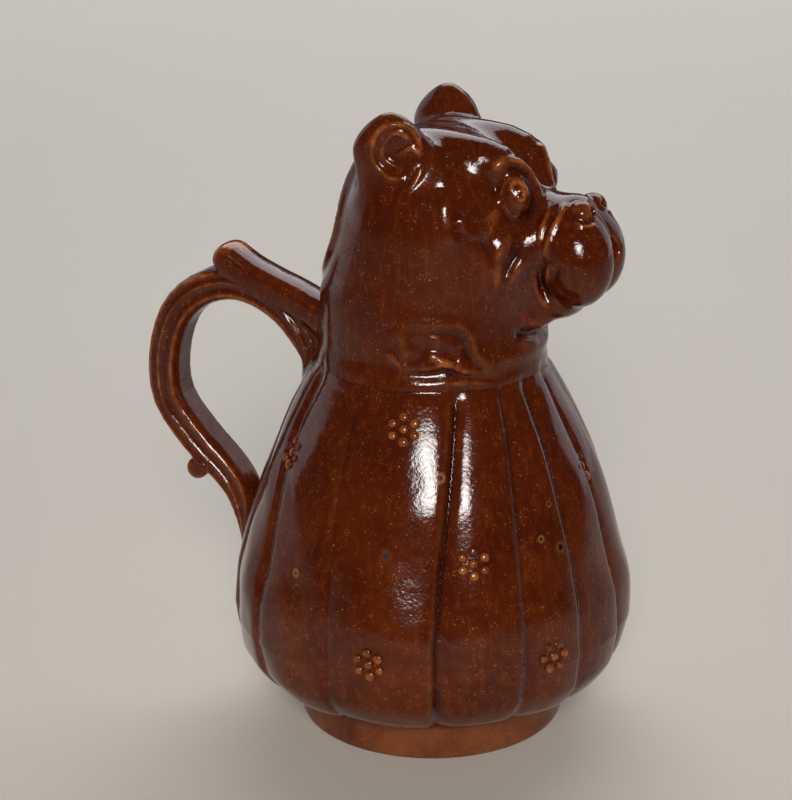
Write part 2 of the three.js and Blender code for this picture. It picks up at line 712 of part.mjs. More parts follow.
// The skin where the distance is zero. Each lattice cube is split into six tetrahedra round its
// long diagonal, which neighbouring cubes share, so the skin closes on itself everywhere.
const AXIS_ORDERS = [[1, 2], [2, 1], [2, 4], [4, 2], [4, 1], [1, 4]];
function drawSkin(box, cell, field) {
  const { values, nx, ny, nz } = sampleLattice(box, cell, field);
  const positions = [];
  const triangles = [];
  const crossings = new Map();
  const count = nx * ny * nz;
  const offsetOf = (corner) => (corner & 1) + nx * (((corner >> 1) & 1) + ny * (corner >> 2));
  const offsets = Array.from({ length: 8 }, (_, corner) => offsetOf(corner));
  const place = (index) => [index % nx, Math.floor(index / nx) % ny, Math.floor(index / (nx * ny))];
  const crossing = (a, b) => {
    const [low, high] = a < b ? [a, b] : [b, a];
    const key = low * count + high;
    if (!crossings.has(key)) {
      const share = values[low] / (values[low] - values[high]);
      const from = place(low);
      const to = place(high);
      const steps = from.map((start, axis) => start + share * (to[axis] - start));
      const point = steps.map((step, axis) => box.min.getComponent(axis) + step * cell);
      crossings.set(key, positions.length / 3);
      positions.push(...point);
    }
    return crossings.get(key);
  };
  const addTriangle = (a, b, c, flip) => {
    triangles.push(a, flip ? c : b, flip ? b : c);
  };
  const cutTetrahedron = (corners, flip) => {
    const inside = corners.filter((corner) => values[corner] < 0);
    const outside = corners.filter((corner) => values[corner] >= 0);
    const order = [...inside, ...outside].map((corner) => corners.indexOf(corner));
    let swaps = 0;
    for (let i = 0; i < 4; i += 1) {
      for (let j = i + 1; j < 4; j += 1) {
        swaps += order[i] > order[j] ? 1 : 0;
      }
    }
    const turned = (swaps % 2 === 1) !== flip;
    if (inside.length === 1) {
      const [a, b, c] = outside.map((corner) => crossing(inside[0], corner));
      addTriangle(a, b, c, turned);
    } else if (inside.length === 3) {
      const [a, b, c] = inside.map((corner) => crossing(corner, outside[0]));
      addTriangle(a, b, c, turned);
    } else if (inside.length === 2) {
      const [p, q] = inside;
      const [r, s] = outside;
      const [pr, ps, qr, qs] = [crossing(p, r), crossing(p, s), crossing(q, r), crossing(q, s)];
      addTriangle(pr, ps, qs, turned);
      addTriangle(pr, qs, qr, turned);
    }
  };
  for (let k = 0; k < nz - 1; k += 1) {
    for (let j = 0; j < ny - 1; j += 1) {
      for (let i = 0; i < nx - 1; i += 1) {
        const base = i + nx * (j + ny * k);
        let below = 0;
        for (let corner = 0; corner < 8; corner += 1) {
          below += values[base + offsets[corner]] < 0 ? 1 : 0;
        }
        if (below === 0 || below === 8) {
          continue;
        }
        AXIS_ORDERS.forEach(([first, second], index) => {
          const corners = [0, first, first + second, 7].map((corner) => base + offsets[corner]);
          cutTetrahedron(corners, index % 2 === 1);
        });
      }
    }
  }
  return { positions, triangles };
}

// Candidate merges of two corners, kept so that the cheapest is on top.
class MergeQueue {
  constructor() {
    this.entries = [];
  }

  push(entry) {
    const heap = this.entries;
    let at = heap.length;
    heap.push(entry);
    while (at > 0) {
      const parent = (at - 1) >> 1;
      if (heap[parent].cost <= entry.cost) {
        break;
      }
      heap[at] = heap[parent];
      at = parent;
    }
    heap[at] = entry;
  }

  pop() {
    const heap = this.entries;
    const top = heap[0];
    const last = heap.pop();
    if (heap.length === 0) {
      return top;
    }
    let at = 0;
    for (;;) {
      let child = 2 * at + 1;
      if (child >= heap.length) {
        break;
      }
      if (child + 1 < heap.length && heap[child + 1].cost < heap[child].cost) {
        child += 1;
      }
      if (heap[child].cost >= last.cost) {
        break;
      }
      heap[at] = heap[child];
      at = child;
    }
    heap[at] = last;
    return top;
  }
}

// A plane's squared distance as ten sums: xx xy xz xw yy yz yw zz zw ww.
function planeSums(normal, offset, weight) {
  const plane = [normal.x, normal.y, normal.z, offset];
  const sums = [];
  for (let row = 0; row < 4; row += 1) {
    for (let column = row; column < 4; column += 1) {
      sums.push(weight * plane[row] * plane[column]);
    }
  }
  return sums;
}

function sumsAt(q, x, y, z) {
  const level = q[0] * x * x + q[4] * y * y + q[7] * z * z + q[9];
  return level + 2 * (q[1] * x * y + q[2] * x * z + q[3] * x + q[5] * y * z + q[6] * y + q[8] * z);
}

// The corner that lies closest to all the planes summed in q, or null where they don't fix one.
function bestCorner(q) {
  const across = q[4] * q[7] - q[5] * q[5];
  const middle = q[1] * q[7] - q[5] * q[2];
  const down = q[1] * q[5] - q[4] * q[2];
  const volume = q[0] * across - q[1] * middle + q[2] * down;
  const scale = q[0] + q[4] + q[7];
  if (Math.abs(volume) < 1e-4 * scale * scale * scale) {
    return null;
  }
  const x = -(q[3] * across - q[1] * (q[6] * q[7] - q[5] * q[8]) + q[2] * (q[6] * q[5] - q[4] * q[8]));
  const y = -(q[0] * (q[6] * q[7] - q[8] * q[5]) - q[3] * middle + q[2] * (q[1] * q[8] - q[6] * q[2]));
  const z = -(q[0] * (q[4] * q[8] - q[6] * q[5]) - q[1] * (q[1] * q[8] - q[6] * q[2]) + q[3] * down);
  return new THREE.Vector3(x, y, z).divideScalar(volume);
}

// Merges corners two by two, the least change first, until few enough triangles are left. A merge
// that would pinch the skin or fold a triangle over is passed by, so the skin stays closed.
// Corners on the ground stay on it.
const FOLD_LIMIT = 0.25; // least cosine between a triangle's old and new facing
const FINEST = 0.01; // corners are rounded to this
const SHORT_FIRST = 1e-4; // where merges change nothing, the short ones go first
function thinSkin({ positions, triangles }, target, care) {
  const points = [];
  for (let i = 0; i < positions.length; i += 3) {
    points.push(new THREE.Vector3(positions[i], positions[i + 1], positions[i + 2]));
  }
  const faces = [];
  const facesOf = points.map(() => []);
  const sums = points.map(() => new Float64Array(10));
  const ages = new Int32Array(points.length);
  const edgeA = new THREE.Vector3();
  const edgeB = new THREE.Vector3();
  const facing = (a, b, c, out) => out.crossVectors(edgeA.subVectors(b, a), edgeB.subVectors(c, a));
  const normal = new THREE.Vector3();
  for (let i = 0; i < triangles.length; i += 3) {
    const face = [triangles[i], triangles[i + 1], triangles[i + 2]];
    const [a, b, c] = face.map((corner) => points[corner]);
    facing(a, b, c, normal);
    const weight = normal.length() * care(a);
    normal.normalize();
    const plane = planeSums(normal, -normal.dot(a), weight);
    for (const corner of face) {
      facesOf[corner].push(faces.length);
      plane.forEach((value, term) => {
        sums[corner][term] += value;
      });
    }
    faces.push(face);
  }
  const queue = new MergeQueue();
  const q = new Float64Array(10);
  const offer = (a, b) => {
    for (let term = 0; term < 10; term += 1) {
      q[term] = sums[a][term] + sums[b][term];
    }
    const length = points[a].distanceTo(points[b]);
    let place = bestCorner(q);
    if (!place || place.distanceTo(points[a]) > 2 * length || place.distanceTo(points[b]) > 2 * length) {
      place = points[a].clone().add(points[b]).multiplyScalar(0.5);
    }
    const grounded = [a, b].filter((corner) => points[corner].z === 0);
    if (grounded.length === 2) {
      place.z = 0;
    } else if (grounded.length === 1) {
      place = points[grounded[0]].clone();
    }
    const cost = Math.max(sumsAt(q, place.x, place.y, place.z), 0) + SHORT_FIRST * length * length;
    queue.push({ cost, a, b, place, age: ages[a] + ages[b] });
  };
  const neighbours = (corner) => {
    const ring = [];
    for (const id of facesOf[corner]) {
      for (const other of faces[id]) {
        if (other !== corner && !ring.includes(other)) {
          ring.push(other);
        }
      }
    }
    return ring;
  };
  const before = new THREE.Vector3();
  const after = new THREE.Vector3();
  const staysFlat = (moved, other, place) => facesOf[moved].every((id) => {
    const face = faces[id];
    if (face.includes(other)) {
      return true;
    }
    const [a, b, c] = face.map((corner) => points[corner]);
    const [d, e, f] = face.map((corner) => (corner === moved ? place : points[corner]));
    facing(a, b, c, before);
    facing(d, e, f, after);
    return after.length() > 1e-3 && before.dot(after) > FOLD_LIMIT * before.length() * after.length();
  });
  faces.forEach(([a, b, c]) => {
    [[a, b], [b, c], [c, a]].forEach(([from, to]) => {
      if (from < to) {
        offer(from, to);
      }
    });
  });
  let left = faces.length;
  while (left > target && queue.entries.length > 0) {
    const { a, b, place, age } = queue.pop();
    if (facesOf[a].length === 0 || facesOf[b].length === 0 || age !== ages[a] + ages[b]) {
      continue;
    }
    const ringA = neighbours(a);
    const ringB = neighbours(b);
    const shared = ringA.filter((corner) => ringB.includes(corner));
    const thin = shared.some((corner) => facesOf[corner].length < 4);
    const pinches = !ringA.includes(b) || shared.length !== 2 || thin;
    if (pinches || !staysFlat(a, b, place) || !staysFlat(b, a, place)) {
      continue;
    }
    points[a] = place;
    sums[b].forEach((value, term) => {
      sums[a][term] += value;
    });
    for (const id of facesOf[b]) {
      const face = faces[id];
      if (face.includes(a)) {
        face.forEach((corner) => {
          if (corner !== b) {
            facesOf[corner] = facesOf[corner].filter((other) => other !== id);
          }
        });
        faces[id] = null;
        left -= 1;
      } else {
        face[face.indexOf(b)] = a;
        facesOf[a].push(id);
      }
    }
    facesOf[b] = [];
    ages[a] += 1;
    neighbours(a).forEach((corner) => offer(a, corner));
  }
  const kept = new Map();
  const thinned = [];
  const index = [];
  for (const face of faces) {
    for (const corner of face ?? []) {
      if (!kept.has(corner)) {
        kept.set(corner, kept.size);
        thinned.push(...points[corner].toArray().map((value) => Math.round(value / FINEST) * FINEST));
      }
      index.push(kept.get(corner));
    }
  }
  const geometry = new THREE.BufferGeometry();
  geometry.setAttribute("position", new THREE.Float32BufferAttribute(thinned, 3));
  geometry.setIndex(index);
  return geometry;
}

// The lattice box clears the form by a few cells, and its points straddle the flat underside.
const MARGIN = 2 * CELL;
const reachBack = -handlePoint([0.7, 1]).x + HANDLE_THICKNESS;
const reachFront = Math.max(BELLY_RADIUS + PLEAT_BULGE + PLEAT_LAP, 78 * HEAD_UNIT);
const reachSide = BELLY_RADIUS + PLEAT_BULGE + PLEAT_LAP;
const reachUp = COLLAR_HEIGHT + HEAD_HEIGHT;
const lattice = new THREE.Box3(
  new THREE.Vector3(-reachBack - MARGIN, -reachSide - MARGIN, -CELL / 2),
  new THREE.Vector3(reachFront + MARGIN, reachSide + MARGIN, reachUp + MARGIN),
);

// The dog's face keeps the most of its fineness and the hollow the least.
const FACE_CARE = 3;
const HOLLOW_CARE = 0.15;

function care(point) {
  if (Math.abs(hollowForm(point.x, Math.abs(point.y), point.z)) < 1) {
    return HOLLOW_CARE;
  }
  return point.z > COLLAR_HEIGHT && point.x > 0 ? FACE_CARE : 1;
}

// Corners this near the ground, in cells, are set down on it, so the underside is exactly flat.
const GROUND_REACH = 0.3;

function makePitcher() {
  const drawn = drawSkin(lattice, CELL, pitcher);
  for (let i = 2; i < drawn.positions.length; i += 3) {
    if (drawn.positions[i] < GROUND_REACH * CELL) {
      drawn.positions[i] = 0;
    }
  }
  const skin = thinSkin(drawn, SKIN_TRIANGLES, care);
  skin.computeVertexNormals();
  const mesh = new THREE.Mesh(skin, GLAZE);
  mesh.name = "pitcher";
  return mesh;
}

const group = new THREE.Group();
group.name = "dog head pitcher";
group.add(makePitcher());

export default group;
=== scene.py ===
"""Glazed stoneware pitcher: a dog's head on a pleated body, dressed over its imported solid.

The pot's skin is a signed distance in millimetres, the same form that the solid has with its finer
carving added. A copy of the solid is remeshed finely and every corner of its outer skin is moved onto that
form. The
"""

import logging
import math
from concurrent.futures import ThreadPoolExecutor
from dataclasses import dataclass
from enum import Enum
from functools import cached_property
from typing import Callable, Sequence

import bpy
import numpy as np
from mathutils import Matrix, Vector

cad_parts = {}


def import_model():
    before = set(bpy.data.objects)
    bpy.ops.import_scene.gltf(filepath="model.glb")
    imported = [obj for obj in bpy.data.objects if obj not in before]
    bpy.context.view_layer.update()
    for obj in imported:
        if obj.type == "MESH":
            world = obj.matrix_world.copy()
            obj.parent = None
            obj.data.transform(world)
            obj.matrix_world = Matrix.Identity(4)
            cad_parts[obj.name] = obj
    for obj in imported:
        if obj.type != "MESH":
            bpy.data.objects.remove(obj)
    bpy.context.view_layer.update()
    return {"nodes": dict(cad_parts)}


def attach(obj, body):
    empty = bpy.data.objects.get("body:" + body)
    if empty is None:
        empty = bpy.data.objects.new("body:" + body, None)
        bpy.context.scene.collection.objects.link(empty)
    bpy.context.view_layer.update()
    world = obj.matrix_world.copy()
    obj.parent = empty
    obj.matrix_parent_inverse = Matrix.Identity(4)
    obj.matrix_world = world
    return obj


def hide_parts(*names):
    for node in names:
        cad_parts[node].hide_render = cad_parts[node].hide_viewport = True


log = logging.getLogger("pitcher")

Array = np.ndarray
Point = tuple[float, float, float]
Station = tuple[float, float]
Colour = tuple[float, float, float]

MM = 0.001
FAR = 60.0
BATCH = 30000
WORKERS = 4
TETRAHEDRON = ((1, 1, 1), (1, -1, -1), (-1, 1, -1), (-1, -1, 1))


# Distances


def join(a: Array, b: Array, reach: float) -> Array:
    """Join two distances into one form.

    Args:
        a: first distance.
        b: second distance.
        reach: how far the seam between them is rounded.

    Returns:
        The joined distance.
    """
    overlap = np.maximum(reach - np.abs(a - b), 0.0) / reach
    return np.minimum(a, b) - overlap * overlap * (reach / 4)


def keep_both(a: Array, b: Array, reach: float) -> Array:
    """Keep what both distances hold.

    Args:
        a: first distance.
        b: second distance.
        reach: how far the edge between them is rounded.

    Returns:
        The distance of what they share.
    """
    return -join(-a, -b, reach)


def cut(a: Array, tool: Array, reach: float) -> Array:
    """Take a tool's form out of another.

    Args:
        a: distance of what is cut.
        tool: distance of what is taken away.
        reach: how far the cut's edge is rounded.

    Returns:
        The distance of what is left.
    """
    return keep_both(a, -tool, reach)


def ellipsoid(points: Array, centre: Point, radii: Point) -> Array:
    """Measure the distance to an ellipsoid.

    Args:
        points: places, one a row.
        centre: its middle.
        radii: its half lengths.

    Returns:
        The distance at each place.
    """
    radius = np.asarray(radii, points.dtype)
    shifted = (points - np.asarray(centre, points.dtype)) / radius
    size = np.sqrt(np.einsum("ij,ij->i", shifted, shifted))
    shifted /= radius
    steepness = np.sqrt(np.einsum("ij,ij->i", shifted, shifted))
    return size * (size - 1) / np.maximum(steepness, 1e-9)


def rod(points: Array, start: Point, end: Point, start_radius: float, end_radius: float) -> Array:
    """Measure the distance to a rod whose radius changes evenly.

    Args:
        points: places, one a row.
        start: its first end.
        end: its other end.
        start_radius: radius at the first end.
        end_radius: radius at the other end.

    Returns:
        The distance at each place.
    """
    first = np.asarray(start, points.dtype)
    line = np.asarray(end, points.dtype) - first
    offset = points - first
    share = np.clip(offset @ line / float(line @ line), 0, 1)
    offset -= share[:, None] * line
    away = np.sqrt(np.einsum("ij,ij->i", offset, offset))
    return away - start_radius - share * (end_radius - start_radius)


@dataclass(frozen=True)
class Curve:
    """A smooth curve through stations that never overshoots them."""

    stations: tuple[Station, ...]

    def __call__(self, position: Array) -> Array:
        """Read the curve.

        Args:
            position: where to read it.

        Returns:
            The value at each position.
        """
        where, value = np.array(self.stations, dtype=np.float64).T
        slope = np.diff(value) / np.diff(where)
        tangent = np.empty(len(where))
        tangent[0], tangent[-1] = slope[0], slope[-1]
        product = slope[:-1] * slope[1:]
        total = np.where(product > 0, slope[:-1] + slope[1:], 1.0)
        tangent[1:-1] = np.where(product > 0, 2 * product / total, 0.0)
        at = np.clip(position, where[0], where[-1])
        i = np.clip(np.searchsorted(where, at) - 1, 0, len(slope) - 1)
        span = where[i + 1] - where[i]
        t = (at - where[i]) / span
        rise = value[i + 1] - value[i]
        ease = t * t * (3 - 2 * t)
        leave = t * (1 - t) ** 2 * span * tangent[i]
        arrive = t * t * (t - 1) * span * tangent[i + 1]
        return (value[i] + rise * ease + leave + arrive).astype(np.result_type(position, np.float32))


class Trail:
    """A smooth path through a few corners, ready to be measured from."""

    def __init__(self, corners: Sequence[Sequence[float]], steps: int = 4) -> None:
        """Draw the path.

        Args:
            corners: the points that it passes through.
            steps: straight pieces from one corner to the next.
        """
        corner = np.array(corners, dtype=np.float64)
        ends = np.vstack([2 * corner[0] - corner[1], corner, 2 * corner[-1] - corner[-2]])
        drawn = []
        for i in range(len(corner) - 1):
            p0, p1, p2, p3 = ends[i : i + 4]
            for t in np.linspace(0, 1, steps, endpoint=False):
                bend = 2 * p0 - 5 * p1 + 4 * p2 - p3
                twist = -p0 + 3 * p1 - 3 * p2 + p3
                drawn.append(0.5 * (2 * p1 + (p2 - p0) * t + bend * t * t + twist * t**3))
        drawn.append(corner[-1])
        self.points = np.array(drawn)
        lengths = np.linalg.norm(np.diff(self.points, axis=0), axis=1)
        self.length = float(lengths.sum())
        self.shares = np.concatenate([[0.0], np.cumsum(lengths)]) / self.length

    def near(self, points: Array, reach: float) -> Array:
        """Tell which places lie in the path's box grown by a reach.

        Args:
            points: places, one a row.
            reach: how far the box is grown.

        Returns:
            True for each place in it.
        """
        low = self.points.min(axis=0) - reach
        high = self.points.max(axis=0) + reach
        return np.all((points > low) & (points < high), axis=1)

    def measure(self, points: Array) -> tuple[Array, Array, Array]:
        """Measure from the path.

        Args:
            points: places, one a row, with as many coordinates as the path.

        Returns:
            The distance, the share of the path's length, and the side of it, in its first two coordinates.
        """
        best = np.full(len(points), 1e12, points.dtype)
        share = np.zeros(len(points), points.dtype)
        side = np.ones(len(points), points.dtype)
        for i in range(len(self.points) - 1):
            start = self.points[i].astype(points.dtype)
            line = (self.points[i + 1] - self.points[i]).astype(points.dtype)
            offset = points - start
            t = np.clip(offset @ line / float(line @ line), 0, 1)
            turn = line[0] * offset[:, 1] - line[1] * offset[:, 0]
            offset -= t[:, None] * line
            away = np.einsum("ij,ij->i", offset, offset)
            closer = away < best
            best[closer] = away[closer]
            share[closer] = self.shares[i] + t[closer] * (self.shares[i + 1] - self.shares[i])
            side[closer] = np.sign(turn[closer])
        return np.sqrt(best), share, side


@dataclass(frozen=True)
class Fold:
    """A crease or fold that follows a path over the skin."""

    name: str
    wide: float
    rise: float
    corners: tuple[Point, ...]
    fade: float = 0.3

    @cached_property
    def trail(self) -> Trail:
        """The fold's path."""
        return Trail(self.corners)

    def swell(self, points: Array) -> Array:
        """Work out how far the fold lifts the skin.

        Args:
            points: places, one a row.

        Returns:
            The lift at each place.
        """
        lift = np.zeros(len(points), points.dtype)
        near = self.trail.near(points, 3 * self.wide)
        if near.any():
            away, share, _ = self.trail.measure(points[near])
            inward = np.clip(np.minimum(share, 1 - share) / self.fade, 0, 1)
            lift[near] = self.rise * inward * (2 - inward) * np.exp(-((away / self.wide) ** 2))
        return lift


# Body and foot


@dataclass(frozen=True)
class BodyForm:
    """Bell of revolution with lapped pleats, standing on a plain foot."""

    collar_height: float = 150.0
    collar_radius: float = 43.6
    belly_height: float = 46.0
    belly_radius: float = 78.0
    foot_height: float = 16.0
    foot_radius: float = 53.5
    pleat_bulge: float = 2.2
    pleat_lap: float = 2.0
    groove_depth: float = 1.5
    groove_width: float = 4.4
    slope_ease: float = 0.82
    drift_start: float = 0.4
    drift_power: float = 1.6
    dip_power: float = 0.7
    hem_drop: float = 2.0
    hem_ease: float = 8.0
    gather_lift: float = 6.0
    gather_ease: float = 10.0
    overlap: float = 6.0
    collar_round: float = 4.0
    foot_taper: float = 0.06
    sole_round: float = 3.0
    foot_round: float = 2.0
    foot_seam: float = 1.5
    pleats: tuple[Point, ...] = (
        (0, 0, 0.6), (21, 20, 0.55), (42, 35, 0.5), (67.5, 57, 1),
        (100, 106, 0.4), (128, 140, 0.5), (155, 162, 0.6),
    )
    under_belly: Curve = Curve(((0, 0.06), (0.133, 0.43), (0.333, 0.714), (0.6, 0.918), (1, 1)))
    over_belly: Curve = Curve((
        (0, 1), (0.137, 0.977), (0.294, 0.863), (0.451, 0.733),
        (0.608, 0.578), (0.765, 0.366), (0.902, 0.157), (1, 0),
    ))

    def radius(self, z: Array) -> Array:
        """Give the bell's radius.

        Args:
            z: heights.

        Returns:
            The radius at each height.
        """
        low = self.under_belly((z - self.foot_height) / (self.belly_height - self.foot_height))
        high = self.over_belly((z - self.belly_height) / (self.collar_height - self.belly_height))
        under = self.foot_radius + (self.belly_radius - self.foot_radius) * low
        over = self.collar_radius + (self.belly_radius - self.collar_radius) * high
        return np.where(z < self.belly_height, under, over)

    def pleat_swell(self, points: Array, radius: Array) -> Array:
        """Give what the pleats add to the bell's radius.

        Args:
            points: places, one a row.
            radius: the bell's radius at each place.

        Returns:
            The extra radius at each place.
        """
        z = points[:, 2]
        risen = (z / self.collar_height - self.drift_start) / (1 - self.drift_start)
        drift = np.clip(risen, 0, 1) ** self.drift_power
        angle = np.degrees(np.arctan2(points[:, 1], points[:, 0]))
        behind = np.full(len(points), 360.0, points.dtype)
        ahead = behind.copy()
        strength = np.ones(len(points), points.dtype)
        for belly, collar, depth in self.pleats:
            for side in (1, -1) if belly else (1,):
                turn = (angle - side * (belly + (collar - belly) * drift)) % 360
                closer = np.minimum(turn, 360 - turn) < np.minimum(behind, ahead)
                strength[closer] = depth
                behind = np.minimum(behind, turn)
                ahead = np.minimum(ahead, 360 - turn)
        across = behind / (behind + ahead)
        dip = 1 - np.maximum(np.sin(np.pi * across), 0) ** self.dip_power
        away = np.radians(np.minimum(behind, ahead)) * radius
        in_groove = np.exp(-((away / (self.groove_width / 2)) ** 2))
        lap = self.pleat_lap * (across - 0.5) * (1 - in_groove)
        hem = np.clip((z - self.foot_height + self.hem_drop) / self.hem_ease, 0, 1)
        gather = np.clip((self.collar_height + self.gather_lift - z) / self.gather_ease, 0, 1)
        sunk = self.pleat_bulge * dip + self.groove_depth * in_groove - lap
        return hem * gather * (self.pleat_bulge - strength * sunk)

    def distance(self, points: Array) -> Array:
        """Measure the distance to the body and foot.

        Args:
            points: places, one a row.

        Returns:
            The distance at each place.
        """
        z = points[:, 2]
        out = np.hypot(points[:, 0], points[:, 1])
        radius = self.radius(z)
        wall = (out - radius - self.pleat_swell(points, radius)) * self.slope_ease
        skirt = np.maximum(wall, self.foot_height - 1 - z)
        body = keep_both(skirt, z - self.collar_height - self.overlap, self.collar_round)
        side = out - self.foot_radius + self.foot_taper * np.abs(z - self.sole_round)
        standing = keep_both(side, -z, self.sole_round)
        foot = keep_both(standing, z - self.foot_height - self.overlap, self.foot_round)
        return join(body, foot, self.foot_seam)


# Head


@dataclass(frozen=True)
class Lump:
    """A rounded form of the head, with how softly it meets the rest."""

    centre: Point
    radii: Point
    reach: float

    def added(self, form: Array, points: Array) -> Array:
        """Join the lump to a form."""
        return join(form, ellipsoid(points, self.centre, self.radii), self.reach)

    def taken(self, form: Array, points: Array) -> Array:
        """Cut the lump out of a form."""
        return cut(form, ellipsoid(points, self.centre, self.radii), self.reach)


